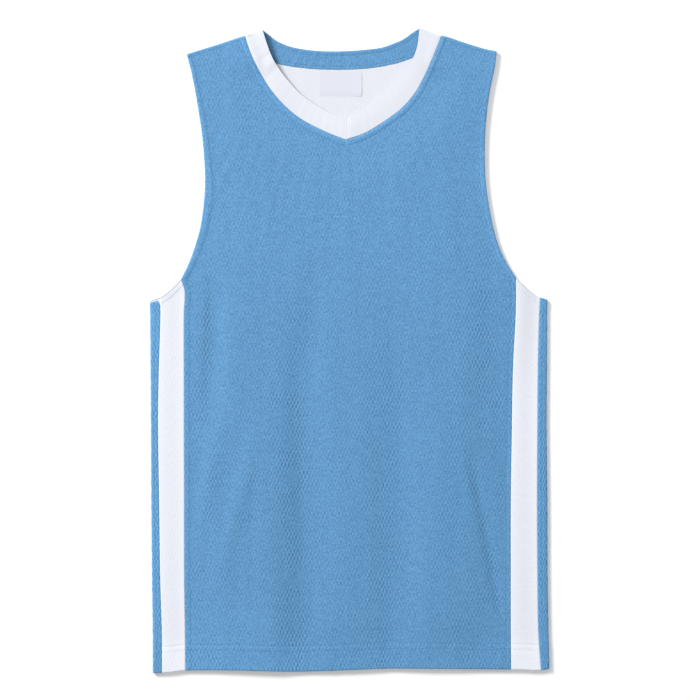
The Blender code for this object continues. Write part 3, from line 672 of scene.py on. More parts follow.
def by_side(x, values):
    """The left or the right value at each x."""
    return np.where(x < 0, values["left"], values["right"])


def sideways(curve, turn):
    """A unit vector square to the curve at each of its points, to its left where turn is 1."""
    way = np.gradient(curve, axis=0)
    way = way / np.linalg.norm(way, axis=1)[:, None]
    return np.column_stack([-way[:, 1], way[:, 0]]) * turn


def chord_side(curve, turn):
    """A unit vector square to the straight line between a curve's ends."""
    way = (curve[-1] - curve[0]) / np.linalg.norm(curve[-1] - curve[0])
    return np.array((-way[1], way[0])) * turn


def distance_to(place, curve):
    """How far each place lies from a curve."""
    flat = place.reshape(-1, 2)
    nearest = np.full(len(flat), np.inf)
    for a, b in zip(curve, curve[1:]):
        run = b - a
        share = np.clip((flat - a) @ run / (run @ run), 0, 1)
        gap = flat - a - share[:, None] * run
        nearest = np.minimum(nearest, (gap ** 2).sum(axis=1))
    return np.sqrt(nearest).reshape(place.shape[:-1])


WAY_OUT = {"left": -1, "right": 1}
HEM = path(HEM_LINE, HEM_COLUMNS, "x", "y")
SIDE = {name: path(SIDE_LINES, SIDE_COLUMNS, name, "y") for name in SIDE_COLUMNS[1:]}
SIDE_SEAM = {side: SIDE["seam_" + side] for side in WAY_OUT}
ARMHOLE, UNDERARM, SHOULDER = (both_sides(table) for table in (ARMHOLES, UNDERARMS, SHOULDERS))
COLLAR = {"left": COLLAR_LEFT, "right": COLLAR_RIGHT}
NECK_SEAM = {side: path(COLLAR[side], COLLAR_COLUMNS, "seam_x", "seam_y") for side in COLLAR}
NECK_EDGE = {side: path(COLLAR[side], COLLAR_COLUMNS, "edge_x", "edge_y") for side in COLLAR}
BAND_SEAM = path(NECK_BAND, BAND_COLUMNS, "seam_x", "seam_y")
BAND_EDGE = path(NECK_BAND, BAND_COLUMNS, "edge_x", "edge_y")


def hem_y(x):
    """Height of the hem's lower edge at x."""
    return crossing(HEM, 0, x)


def fold_rise(place, left_half, right_half, line):
    """How much one fold raises each place: its height at the nearest point of its line, fading beside it."""
    flat = place.reshape(-1, 2)
    nearest = np.full(len(flat), np.inf)
    aside = np.zeros(len(flat))
    height = np.zeros(len(flat))
    curve = smooth_curve(line)[::4]
    for a, b in zip(curve, curve[1:]):
        run = b[:2] - a[:2]
        share = np.clip((flat - a[:2]) @ run / (run @ run), 0, 1)
        gap = flat - a[:2] - share[:, None] * run
        far = np.sqrt((gap ** 2).sum(axis=1))
        closer = far < nearest
        nearest = np.where(closer, far, nearest)
        aside = np.where(closer, gap[:, 0] / np.maximum(far, 0.01), aside)
        height = np.where(closer, a[2] + (b[2] - a[2]) * share, height)
    half = left_half + (right_half - left_half) * smooth_step(0.5 + 0.5 * aside)
    return (height * np.exp(-((nearest / half) ** 2))).reshape(place.shape[:-1])


def fold_height(place, near):
    """How high the front is lifted off the back by its loft and folds."""
    x, y = place[..., 0], place[..., 1]
    chest = 1 - (1 - CHEST_LOFT) * grows(y, CHEST_FROM, CHEST_TO)
    hem = HEM_LOFT + (1 - HEM_LOFT) * smooth_step((y - hem_y(x)) / HEM_FADE)
    lofted = LOFT * chest + sum(fold_rise(place, *fold) for fold in FOLDS)
    return smooth_step(near / EDGE_FADE) * hem * 0.5 * (lofted + np.sqrt(lofted ** 2 + LEAST_LOFT ** 2))


def streaks(place):
    """Fine streaks that fan out below the neck."""
    x = place[..., 0] - STREAK_CENTRE[0]
    down = STREAK_CENTRE[1] - place[..., 1]
    far = np.hypot(x, down)
    begin, full, fade, end = STREAKS_SHOWN
    shown = grows(far, begin, full) * (1 - grows(far, fade, end))
    turn = np.arctan2(x, down)
    return shown * sum(tall * np.sin(turn * count + start) for count, tall, start in STREAKS)


def waves(place):
    """Slow unevenness of laid cloth."""
    return sum(
        tall * np.sin(2 * pi * (place[..., 0] / across + place[..., 1] / along) + start)
        for across, along, tall, start in WAVES
    )


def collar_lift(place):
    """How far the collar's seam is raised where the back neck band lies under it, more at the left."""
    x, y = place[..., 0], place[..., 1]
    more = LEFT_LIFT * grows(y, LEFT_LIFT_FROM, LEFT_LIFT_TO)
    return COLLAR_LIFT * grows(y, LIFT_FROM, LIFT_TO) + more * smooth_step(-x / LEFT_LIFT_RUN)


def rounding(far, radius):
    """0 inside, growing to 1 at an edge as a quarter circle does."""
    return 1 - np.sqrt(1 - (1 - np.clip(far / radius, 0, 1)) ** 2)


def turned(far, depth, step=TURNED_STEP):
    """1 where the cloth is turned in along an edge and 0 past that."""
    return 1 - smooth_step((far - depth + step / 2) / step)


def arm_stitch_at(place):
    """How far inside each armhole its row of stitches lies, at the height of each place."""
    far = {}
    for side in WAY_OUT:
        heights = sample(ARMHOLE[side], even(len(ARMHOLE_STITCH[side]) - 1))[:, 1]
        far[side] = np.interp(place[..., 1], heights[::-1], ARMHOLE_STITCH[side][::-1])
    return far


def nearest_side(place, curves, stitch):
    """The distance to the nearer of two curves, and how far from that one its row of stitches lies."""
    left, right = (distance_to(place, curves[side]) for side in WAY_OUT)
    return np.minimum(left, right), np.where(left < right, stitch["left"], stitch["right"])


def edge_distances(place):
    """How far each place is from its side seam, armhole and hem, and how far in the first two are sewn."""
    to_side, side_line_far = nearest_side(place, SIDE_SEAM, SEAM_STITCH)
    to_arm, arm_line_far = nearest_side(place, ARMHOLE, arm_stitch_at(place))
    return to_side, side_line_far, to_arm, arm_line_far, place[..., 1] - hem_y(place[..., 0])


def to_nearer(place, curves):
    """The distance to the nearer of a left and a right curve."""
    return np.minimum(*(distance_to(place, curves[side]) for side in WAY_OUT))


def ripple(along, start):
    """Uneven gathering along a seam, around 0."""
    return sum(tall * np.sin(2 * pi * along / length + turn * start) for tall, length, turn in RIPPLES)


def dip(far, line):
    """The groove that a row of stitches pulls into the cloth."""
    return swell(far, -STITCH_DIP, line, STITCH_DIP_WIDTH)


def hem_dips(to_hem):
    """The grooves of the hem's two rows of stitches."""
    return sum(dip(to_hem, line) for line in HEM_STITCHES)


def seam_relief(far, along, line, tall, start, pull=1.0):
    """The roll of cloth beside a seam: down into it, puffed over its allowance, and pulled in by stitches."""
    hump = smooth_step(far / (PUFF_RISE * line)) * smooth_step((line - far) / (PUFF_FALL * line))
    puff = (tall + PUFF_RIPPLE * ripple(along, start)) * hump
    return puff + pull * dip(far, line) - SEAM_DROP * rounding(far, SEAM_ROUND)


def levels(extra):
    """Top of the back, underside of the front and top of the front, where both are turned in by extra."""
    back_top = BACK_WALL + extra
    front_low = back_top + GAP
    return back_top, front_low, front_low + FRONT_WALL + extra


def allowance(name, far, stitches):
    """How much of a white allowance shows through at each distance from its seam or edge."""
    shows, short, fade = ALLOWANCES[name]
    return shows * smooth_step((stitches - short - far) / fade)


def front_backing_and_painted_light(place):
    """How much of the white cloth under the front's blue mesh shows through at each place, with painted light
    above the hem's left.
    """
    to_side, side_line_far, to_arm, arm_line_far, to_hem = edge_distances(place)
    arm = {side: allowance(side + "_arm", to_arm, arm_line_far) for side in WAY_OUT}
    # painted light above the hem's left
    left_hem_light = grows(place[..., 0], LEFT_HEM_LIGHT_FROM, LEFT_HEM_LIGHT_FROM - LEFT_HEM_LIGHT_RUN)
    left_hem_light = LEFT_HEM_PAINTED_LIGHT * left_hem_light * smooth_step((LEFT_HEM_LIGHT_HEIGHT - to_hem) / LEFT_HEM_LIGHT_RUN)
    return left_hem_light + np.maximum.reduce([
        allowance("neck", to_nearer(place, NECK_SEAM), NECK_STITCH),
        by_side(place[..., 0], arm),
        allowance("side", to_side, side_line_far),
        allowance("hem", to_hem, HEM_STITCHES[1]),
    ])


def eyelet_gape_and_painted_shade(place):
    """How far the front's eyelets gape, with painted shade.

    Painted shade: they show stronger where the cloth falls away to the right from the key lamp and lies in a
    fold, and weaker where it rises again. They are more open in the slack lower half and the hem than in the
    chest, and most beside the right seam.
    are more open in the slack lower half and the hem than in the chest, and most beside the right seam.
    """
    x, y = place[..., 0], place[..., 1]
    step = np.array((FALL_STEP, 0.0))
    # painted shade: stronger eyelets where folds fall away from the key lamp and in their valleys
    fall = sum(fold_rise(place - step, *fold) - fold_rise(place + step, *fold) for fold in FOLDS)
    sunk = np.maximum(0.0, -sum(fold_rise(place, *fold) for fold in FOLDS))
    slack = SLACK_GAPE * smooth_step((SLACK_FROM - y) / SLACK_RUN) + CHEST_GAPE
    hem = HEM_GAPE * smooth_step((HEM_DEPTH - y + hem_y(x)) / HEM_GAPE_FADE)
    pulled = swell(x, PULLED_GAPE, PULLED_X, PULLED_REACH[0]) * swell(y, 1.0, PULLED_Y, PULLED_REACH[1])
    return np.clip(AWAY_SLOPE_PAINTED_SHADE * fall / (2 * FALL_STEP), *AWAY_SLOPE_SHADE_RANGE) + VALLEY_PAINTED_SHADE * sunk + slack + hem + pulled


def front_heights(place):
    """Heights of the front's outer and inner faces."""
    x, y = place[..., 0], place[..., 1]
    to_side, side_line_far, to_arm, arm_line_far, to_hem = edge_distances(place)
    to_neck, to_shoulder = to_nearer(place, NECK_SEAM), to_nearer(place, SHOULDER)
    near = np.minimum.reduce([to_side, to_arm, to_neck, to_shoulder])
    neck_lift = collar_lift(place) * (1 - smooth_step(to_neck / by_side(x, LIFT_FADE)))
    lift = fold_height(place, near) + neck_lift
    hem_band = turned(to_hem, HEM_DEPTH, HEM_STEP)
    arm_band = turned(to_arm, arm_line_far, ARM_STEP)
    extra = np.maximum(HEM_EXTRA * hem_band, TURNED_EXTRA * arm_band)
    _, low, top = levels(extra)
    relief = (streaks(place) + waves(place)) * smooth_step(near / RELIEF_FADE)
    relief += sum(fold_rise(place, *crease) for crease in CREASES)
    relief += seam_relief(to_side, y, side_line_far, SIDE_PUFF, start=1.3, pull=by_side(x, SIDE_PULL))
    relief += seam_relief(to_neck, x * NECK_WAY[0] + y * NECK_WAY[1], NECK_STITCH, NECK_PUFF, start=2.6)
    relief += dip(to_arm, arm_line_far) + dip(to_shoulder, SHOULDER_STITCH) + hem_dips(to_hem)
    relief += BAND_RIPPLE * ripple(x, start=0.7) * hem_band * smooth_step(to_hem / HEM_RIPPLE_FROM)
    relief += BAND_RIPPLE * ripple(y, start=3.1) * arm_band
    wall = FRONT_WALL + extra
    edge = np.maximum(rounding(to_hem, FRONT_ROUND[0]), rounding(to_arm, FRONT_ROUND[1]))
    return top + lift + relief - EDGE_TOP * wall * edge, low + lift + EDGE_LOW * wall * edge


def piece_from(name, points, faces, cloth_map, materials):
    """A piece of these points and faces, with the place in the cloth of each point."""
    mesh = bpy.data.meshes.new(name)
    mesh.from_pydata((points * MM).tolist(), [], faces)
    for material in materials:
        mesh.materials.append(material)
    corners = np.empty(len(mesh.loops), dtype=np.int32)
    mesh.loops.foreach_get("vertex_index", corners)
    places = cloth_map[corners] * MM
    mesh.uv_layers.new(name="cloth").data.foreach_set("uv", places.astype(np.float32).ravel())
    mesh.shade_smooth()
    piece = bpy.data.objects.new(name, mesh)
    bpy.context.collection.objects.link(piece)
    return piece


def shell(name, outer, inner, faces, cloth_map, materials, marks=None, rim_slot=0):
    """A closed shell from its outer and inner points, the faces of its outer skin and its place in the cloth.

    The marks are named values at each point of the outer skin that its material reads. Where there are two
    materials, the second one is the inner skin's, and the rim's too if rim_slot is 1.
    """
    count = len(outer)
    edges = {(face[k], face[(k + 1) % len(face)]) for face in faces for k in range(len(face))}
    rim = sorted((a + count, b + count, b, a) for a, b in edges if (b, a) not in edges)
    underside = [tuple(k + count for k in reversed(face)) for face in faces]
    points = np.vstack([outer, inner])
    points[:, :2] -= MIDDLE
    cloth_map = np.vstack([cloth_map, cloth_map])
    piece = piece_from(name, points, list(faces) + underside + rim, cloth_map, materials)
    mesh = piece.data
    if len(materials) > 1:
        slots = np.repeat((0, 1, rim_slot), (len(faces), len(faces), len(rim))).astype(np.int32)
        mesh.polygons.foreach_set("material_index", slots)
    mesh.set_sharp_from_angle(angle=radians(60))
    for mark, values in (marks or {}).items():
        values = np.concatenate([values.ravel(), 0 * values.ravel()]).astype(np.float32)
        mesh.attributes.new(mark, "FLOAT", "POINT").data.foreach_set("value", values)
    return piece


def grid_faces(index):
    """Quads between the rows of a grid of vertex numbers, facing up where rows go up and columns right."""
    faces = []
    for lower, upper in zip(index, index[1:]):
        faces += list(zip(lower, lower[1:], upper[1:], upper))
    return faces


def grid_shell(name, outer, inner, cloth_map, materials, facing=1, marks=None):
    """A shell from rows of points. Facing is -1 where the columns run from right to left."""
    rows, width = outer.shape[:2]
    index = np.arange(rows * width).reshape(rows, width)
    if facing < 0:
        index = index[:, ::-1]
    skins = outer.reshape(-1, 3), inner.reshape(-1, 3)
    return shell(name, *skins, grid_faces(index.tolist()), cloth_map.reshape(-1, 2), materials, marks)


def raised(place, heights):
    """Points of a grid with their heights."""
    return np.concatenate([place, heights[..., None]], axis=-1)


def side_heights(height):
    """Distances above the hem of the rows of a side seam of this height, close beside hem and underarm."""
    low = np.array(HEM_STEPS)
    high = height - np.array(END_STEPS)
    body = np.linspace(low[-1], high[0], BODY_ROWS)[1:-1]
    return np.concatenate([low, body, high])


BODY_TOP = len(HEM_STEPS) + BODY_ROWS - 2 + len(END_STEPS)


def side_line(curve, top_y):
    """Points of a side seam or folded edge at the rows, from the hem up to top_y."""
    foot = crossing(curve, 1, HEM_LINE[0][1])
    low = hem_y(foot)
    heights = low + side_heights(top_y - low)
    return np.column_stack([crossing(curve, 1, heights), heights])


def steps_in(width, columns, close):
    """Shares of a width, close together beside its outer side, and by this share beside its inner side."""
    steps = np.array(SEAM_STEPS)
    inner = steps / width
    outer = 1 - steps[::-1] / width
    middle = np.linspace(inner[-1], outer[0], columns)[1:-1]
    fine = np.concatenate([inner, middle, outer])
    plain = np.concatenate([np.linspace(0, outer[0], len(inner) + columns - 1)[:-1], outer])
    return plain * (1 - close) + fine * close


def panel_rows(side, inner, columns):
    """Rows of points of one half panel, from the hem to just below the shoulder, inner to outer."""
    armhole = ARMHOLE[side][::-1]
    arm_shares = np.concatenate([V_SHARE * even(ARM_ROWS)[1:], V_SHARE + (1 - V_SHARE) * neck_shares()[1:]])
    outer = np.vstack([side_line(SIDE_SEAM[side], armhole[0][1]), sample(armhole, arm_shares)])
    closeness = smooth_step((inner[:, 1] - CLOSE_FROM) / CLOSE_RUN)
    rows = []
    for start, end, close in zip(inner, outer, closeness):
        shares = steps_in(np.linalg.norm(end - start), columns, close)
        rows.append(start + (end - start) * shares[:, None])
    rows = np.array(rows)
    body = rows[:BODY_TOP]
    bow = hem_y(body[0, :, 0]) - body[0, :, 1]
    share = (body[-1, 0, 1] - body[:, 0, 1]) / (body[-1, 0, 1] - body[0, 0, 1])
    body[..., 1] += share[:, None] * bow
    return rows


def neck_shares():
    """Shares along the neck seam at the rows above the V, close together at the shoulder."""
    close = 1 - np.array(SHOULDER_SHARES)
    return np.concatenate([np.linspace(0, close[0], NECK_ROWS)[:-1], close])


def centre_line(x, top_y):
    """Points of the middle of a panel at the rows, from the hem to the neck."""
    low = hem_y(x)
    corner = ARMHOLES[-1][1]
    body = low + side_heights(corner - low)
    arm = corner + (top_y - corner) * even(ARM_ROWS)[1:]
    heights = np.concatenate([body, arm])
    return np.column_stack([np.full(len(heights), x), heights])


def shoulder_row(side, shares, inset):
    """The shoulder line's points at these shares, moved in towards the body."""
    curve = SHOULDER[side]
    return sample(curve, shares) + chord_side(curve, -WAY_OUT[side]) * inset


def ease_to_shoulder(rows, side, inset, hold_neck=False):
    """Bend the last rows of a half panel to the shoulder's line, maybe all but their point at the neck."""
    last = rows[-1]
    far = np.linalg.norm(last - last[0], axis=1)
    move = shoulder_row(side, far / far[-1], inset) - last
    if hold_neck:
        move[0] = 0.0
    count = len(neck_shares()) - 1
    for number, share in enumerate(neck_shares()[1:], len(rows) - count):
        rows[number] += move * grows(share, SHOULDER_EASE, 1.0)
    return rows


def half_arc(steps):
    """Angles from the top of a folded edge over to its underside."""
    return np.linspace(pi / 2, -pi / 2, steps + 1)


def front_half(side):
    """Outer and inner rows of half the front, its shoulder folded over to the back, and its cloth map."""
    v_point = NECK_SEAM[side][0]
    inner_line = np.vstack([centre_line(*v_point), sample(NECK_SEAM[side], neck_shares())[1:]])
    rows = ease_to_shoulder(panel_rows(side, inner_line, FRONT_COLUMNS), side, TURN_REACH)
    high, low = front_heights(rows)
    outer, inner, maps = list(raised(rows, high)), list(raised(rows, low)), list(rows)
    far = np.linalg.norm(rows[-1] - rows[-1][0], axis=1)
    shares = far / far[-1]
    middle = (low[-1] + BACK_WALL) / 2
    for angle in half_arc(FOLD_STEPS)[1:]:
        out_row = shoulder_row(side, shares, TURN_REACH * (1 - np.cos(angle)))
        in_row = shoulder_row(side, shares, TURN_REACH * (1 - INNER_TURN * np.cos(angle)))
        outer.append(raised(out_row, high[-1] * (0.5 + 0.5 * np.sin(angle))))
        inner.append(raised(in_row, middle + (low[-1] - middle) * np.sin(angle)))
        maps.append(shoulder_row(side, shares, TURN_REACH - TURN_CLOTH * (pi / 2 - angle)))
    leg = shoulder_row(side, shares, SHOULDER_LEG)
    outer.append(raised(leg, np.zeros(len(leg))))
    inner.append(raised(leg, np.full(len(leg), BACK_WALL)))
    maps.append(maps[-1] + shoulder_row(side, shares, TURN_REACH) - leg)
    return np.stack(outer), np.stack(inner), np.stack(maps)


def joined_halves(left, right, split_row):
    """Points of two half panels that share their middle line up to split_row, and their faces."""
    points, left_index, right_index = [], [], []
    count = 0
    for row, (a, b) in enumerate(zip(left, right)):
        points.append(a[::-1])
        left_index.append(list(range(count, count + len(a))))
        count += len(a)
        if row > split_row:
            points.append(b)
            right_index.append(list(range(count, count + len(b))))
            count += len(b)
        else:
            points.append(b[1:])
            right_index.append([count - 1] + list(range(count, count + len(b) - 1)))
            count += len(b) - 1
    return np.vstack(points), grid_faces(left_index) + grid_faces(right_index)


def joined_skins(left, right):
    """Outer points, inner points, faces and cloth map of a panel from those of its halves."""
    outer, inner, cloth_map = (joined_halves(*half, V_ROW) for half in zip(left, right))
    return outer[0], inner[0], outer[1], cloth_map[0]


V_ROW = BODY_TOP - 1 + ARM_ROWS


def make_front(material, inside):
    """The front: both mesh layers in one shell, with its neck, armholes, hem, loft, folds and seams."""
    skins = joined_skins(front_half("left"), front_half("right"))
    place = skins[0][:, :2]
    marks = {"backing": front_backing_and_painted_light(place), "gape": eyelet_gape_and_painted_shade(place)}
    return shell("front", *skins, (material, inside), marks)


def band_stations(curve, count):
    """Points along one edge of the neck band, in equal steps on each side of its middle."""
    middle = len(curve) // 2
    left = sample(curve[:middle + 1], even(count))
    right = sample(curve[middle:], even(count))
    return np.vstack([left, right[1:]])


def back_neck_line(side):
    """Points of the back's neck edge, at the band's seam, from the middle to just below the shoulder."""
    middle = len(BAND_SEAM) // 2
    seam = BAND_SEAM[middle:] if side == "right" else BAND_SEAM[middle::-1]
    shoulder = SHOULDER[side]
    depth = (seam - shoulder[0]) @ chord_side(shoulder, -WAY_OUT[side])
    points = sample(seam[depth > SHOULDER_LEG + GAP], neck_shares())
    return points + sideways(points, -WAY_OUT[side]) * GAP / 2


def back_half(side):
    """Upper and lower rows of half the back, with the neck cut to the band's seam, and its cloth map."""
    neck = back_neck_line(side)
    middle = BAND_SEAM[len(BAND_SEAM) // 2]
    rows = panel_rows(side, np.vstack([centre_line(middle[0], neck[0][1]), neck[1:]]), BACK_COLUMNS)
    rows = ease_to_shoulder(rows, side, SHOULDER_LEG + GAP, hold_neck=True)
    top, low = back_heights(rows)
    return raised(rows, top), raised(rows, low), rows


def back_heights(place):
    """Heights of the back's upper face and of its flat underside, which has its seams and stitches too."""
    to_side, side_line_far, to_arm, arm_line_far, to_hem = edge_distances(place)
    extra = np.maximum(HEM_EXTRA * turned(to_hem, HEM_DEPTH), TURNED_EXTRA * turned(to_arm, ARMHOLE_BAND))
    edge = np.maximum(rounding(to_hem, BACK_ROUND[0]), rounding(to_arm, BACK_ROUND[1]))
    rows = dip(to_side, side_line_far) + dip(to_arm, arm_line_far) + hem_dips(to_hem)
    least, share, stretch = UNDER_WAVE
    soft = least + share * np.maximum(0.0, waves(place * stretch))
    soft = soft * smooth_step(np.minimum(to_side, to_hem) / RELIEF_FADE)
    seams = UNDER_SEAM * (rounding(to_side, SEAM_ROUND) + edge)
    return BACK_WALL + extra - 0.4 * edge, seams - UNDER_STITCH * rows + soft


def make_back(material, inside):
    """The back: both mesh layers in one shell, flat on the surface, with its outside below."""
    return shell("back", *joined_skins(back_half("left"), back_half("right")), (inside, material), rim_slot=1)


def stripe_rows(side):
    """Rows of points across a white stripe, left to right, from the hem to the underarm."""
    seam = SIDE["seam_" + side]
    strip = SIDE["strip_" + side]
    width = abs(strip[0][0] - seam[0][0])
    steps = np.array(STRIPE_STEPS) / width
    middle = np.linspace(steps[-1], 1 - steps[-1], STRIPE_COLUMNS)[1:-1]
    shares = np.concatenate([steps, middle, 1 - steps[::-1]])
    lines = []
    for share in shares:
        curve = seam + (strip - seam) * share
        top_y = curve[0][1]
        for _ in range(CROSSING_STEPS):
            top_y = crossing(UNDERARM[side], 0, crossing(curve, 1, top_y))
        lines.append(side_line(curve, top_y))
    rows = np.stack(lines, axis=1)
    return rows if side == "right" else rows[:, ::-1]


def painted_rim_shade(side, to_top):
    """Painted shade along the rim of the underarm's turned edge, counted as backing below 0."""
    start, run = RIM_WIDTH
    return -RIM_PAINTED_SHADE[side] * (1 - smooth_step((to_top - start) / run))


def band_extra(to_hem, to_top):
    """How much thicker a stripe or side panel is where its hem and its underarm edge are turned in."""
    at_hem = HEM_EXTRA * turned(to_hem, HEM_DEPTH, HEM_STEP)
    return np.maximum(at_hem, UNDERARM_EXTRA * turned(to_top, ARMHOLE_BAND, ARM_STEP))


def stripe_heights(place, side):
    """Heights of the four faces of a stripe's front and back."""
    x, y = place[..., 0], place[..., 1]
    first, last = ("strip_", "seam_") if side == "left" else ("seam_", "strip_")
    to_first, to_last = distance_to(place, SIDE[first + side]), distance_to(place, SIDE[last + side])
    to_seam = np.minimum(to_first, to_last)
    to_hem = y - hem_y(x)
    to_top = distance_to(place, UNDERARM[side])
    extra = band_extra(to_hem, to_top)
    back_top, low, top = levels(extra)
    hem_edge = STRIPE_HEM_ROUND * rounding(to_hem, STRIPE_ROUND)
    edge = np.maximum(hem_edge, RIM_ROUND[side] * rounding(to_top, STRIPE_ROUND))
    crown = STRIPE_RIPPLE * ripple(y + 2 * x, start=1.9) * smooth_step(to_seam / STRIPE_RIPPLE_FROM)
    share = to_first / (to_first + to_last)
    crown += STRIPE_WAVE[side] * np.sin(2 * pi * share) * smooth_step(to_hem / STRIPE_WAVE_FROM)
    crown += STRIPE_TILT[side] * np.cos(pi * share) * smooth_step((y - STRIPE_TILT_FROM) / STRIPE_TILT_RUN)
    lines = hem_dips(to_hem) + UNDERARM_PULL * dip(to_top, UNDERARM_STITCH)
    seam, wall = rounding(to_seam, SEAM_ROUND), top - low
    high = top + crown + lines - SEAM_DROP * seam - STRIPE_EDGE_TOP * wall * edge
    under = UNDER_SEAM * seam + STRIPE_EDGE_UNDER * edge - STRIPE_UNDER_STITCH * lines
    return high, low + EDGE_LOW * wall * edge, back_top - EDGE_LOW * edge, under


def make_stripes(material):
    """The white stripes beside the front and the back, with the hem and the underarm edge turned in."""
    pieces = {}
    for side in WAY_OUT:
        rows = stripe_rows(side)
        y = rows[..., 1]
        top, low, back_top, under = stripe_heights(rows, side)
        backing = allowance("stripe_hem", y - hem_y(rows[..., 0]), HEM_STITCHES[1])
        # painted shade, darker towards the right stripe's underarm
        backing = backing - UNDERARM_PAINTED_SHADE[side] * smooth_step((y - UNDERARM_SHADE_FROM) / UNDERARM_SHADE_RUN)
        # painted shade along the stripe's underarm rim
        marks = {"backing": backing + painted_rim_shade(side, distance_to(rows, UNDERARM[side]))}
        faces = {"front": (top, low, marks), "back": (back_top, under, None)}
        for which, (high, foot, shown) in faces.items():
            name = f"stripe_{which}_{side}"
            skins = raised(rows, high), raised(rows, foot)
            pieces[name] = grid_shell(name, *skins, rows, [material], marks=shown)
    return pieces


def make_side_panels(blue, white):
    """The blue bands that wrap the fold at each side, from the front stripe to the back one."""
    pieces = {}
    for side, out in WAY_OUT.items():
        edge_top = crossing(UNDERARM[side], 0, SIDE["edge_" + side][0][0])
        strip_x = crossing(SIDE["strip_" + side], 1, edge_top)
        edge = side_line(SIDE["edge_" + side], edge_top)
        strip = side_line(SIDE["strip_" + side], crossing(UNDERARM[side], 0, strip_x))
        low_y = edge[:, 1] - edge[0, 1]
        high_y = edge[-1, 1] - edge[:, 1]
        back_top, low, top = levels(band_extra(low_y, high_y))
        width = np.abs(edge[:, 0] - strip[:, 0])
        tall, stretch, full_at, fade = PANEL_WAVE
        wavy = tall * ripple(edge[:, 1] * stretch, start=2.2 + out) * smooth_step(low_y / full_at)
        end = np.maximum(rounding(low_y, FRONT_ROUND[0]), rounding(high_y, FRONT_ROUND[1]))
        high_end, low_end = top - EDGE_TOP * (top - low) * end, low + EDGE_LOW * (top - low) * end
        columns = []

        def add_column(out_inset, out_z, in_inset, in_z, across, short=0.0):
            cut = np.zeros(len(edge))
            if side == "left":
                cut = (short or band_short(out_inset / width)) * smooth_step(1 - high_y / FACING_DEPTH)
            column = []
            for inset, z in ((out_inset, out_z), (in_inset, in_z)):
                point = edge + (strip - edge) * (inset / width)[:, None]
                point[:, 0] = edge[:, 0] - out * (inset - wavy * np.exp(-inset / fade))
                point[:, 1] -= cut
                column.append(raised(point, z))
            columns.append((*column, np.column_stack([across, edge[:, 1]])))

        half_roll = pi / 2 * (top + TURN_REACH) / 2
        for step in STRIPE_STEPS:
            inset = np.maximum(width - step, TURN_REACH)
            far = width - inset
            relief = seam_relief(far, edge[:, 1], STRIP_STITCH, SIDE_PUFF, start=4.4 + out)
            add_column(inset, high_end + relief + hem_dips(low_y), inset, low_end, -far)
        for angle in half_arc(FOLD_STEPS)[1:-1]:
            out_inset = TURN_REACH * (1 - np.cos(angle)) + 0 * width
            in_inset = TURN_REACH * (1 - INNER_TURN * np.cos(angle)) + 0 * width
            foot = EDGE_LOW * end
            out_z = foot + (high_end - foot) * (0.5 + 0.5 * np.sin(angle))
            in_z = (low + back_top) / 2 + (low - back_top) / 2 * np.sin(angle)
            across = -width - half_roll * (pi / 2 - angle) / pi
            add_column(out_inset, out_z, in_inset, in_z, across)
        for step in STRIPE_STEPS[::-1]:
            inset = np.maximum(width - step, TURN_REACH)
            far = width - inset
            under = UNDER_SEAM * rounding(far, SEAM_ROUND) + EDGE_LOW * end
            under -= PANEL_UNDER_STITCH * dip(far, STRIP_STITCH)
            add_column(inset, under, inset, back_top, -2 * width - half_roll + far, BACK_SHORT)
        name = "side_panel_" + side
        outer, inner, cloth_map = (np.stack(part, axis=1) for part in zip(*columns))
        at_hem, above = PANEL_BACKING[side]
        backing = at_hem + (above - at_hem) * smooth_step(low_y / PANEL_BACKING_TOP)
        # painted shade along the right band's underarm rim
        backing = backing + painted_rim_shade(side, high_y) * (side == "right")
        marks = {
            "backing": np.broadcast_to(backing[:, None], outer.shape[:2]),
            "gape": np.full(outer.shape[:2], PANEL_GAPE),
        }
        pieces[name] = grid_shell(name, outer, inner, cloth_map, (blue, white), out, marks)
        if side == "left":
            pieces["underarm_facing"] = make_facing(edge, strip, top, white)
    return pieces


def band_short(share):
    """How much the left blue band is cut short at the underarm, from its fold (0) to its seam (1)."""
    at_fold, more, corner = BAND_SHORT
    return at_fold + more * share + corner * grows(share, BAND_CORNER, 1.0) ** 2


def make_facing(edge, strip, top, white):
    """The white facing that rolls out above the left blue band."""
    width = abs(edge[-1, 0] - strip[-1, 0])
    past_turn = np.linspace(FACING_INSETS[-1], width + FACING_OVERLAP, FACING_COLUMNS)[1:]
    insets = np.concatenate([FACING_INSETS, past_turn])
    downs = np.concatenate([np.linspace(FACING_DEPTH, FACING_DOWNS[0], FACING_ROWS)[:-1], FACING_DOWNS])
    share = insets / width
    top_line = edge[-1] + (strip[-1] - edge[-1]) * share[:, None]
    top_line[:, 0] = edge[-1, 0] + insets
    rows = top_line[None] - np.stack([0 * downs, downs], axis=-1)[:, None]
    roll = np.sqrt(1 - np.clip(1 - insets / TURN_REACH, 0, 1) ** 2)
    below = smooth_step((downs[:, None] - band_short(share) - GAP) / FACING_SINK_RUN)
    high = (top[-1] - FACING_DROP - FACING_SINK * below) * (0.5 + 0.5 * roll)
    high = high - 0.1 * rounding(downs, 1.0)[:, None]
    low = high - FACING_WALL * (0.4 + 0.6 * roll)
    # painted shade along the facing's top rim
    marks = {"backing": painted_rim_shade("left", downs)[:, None] + 0 * share}
    return grid_shell("underarm_facing", raised(rows, high), raised(rows, low), rows, [white], marks=marks)


def collar_shares(width):
    """Shares across the collar, close together beside its seam and its free edge."""
    close = np.array(COLLAR_STEPS) / width
    middle = np.linspace(close[-1], 1 - close[-1], COLLAR_COLUMNS_ACROSS)[1:-1]
    return np.concatenate([close, middle, 1 - close[::-1]])


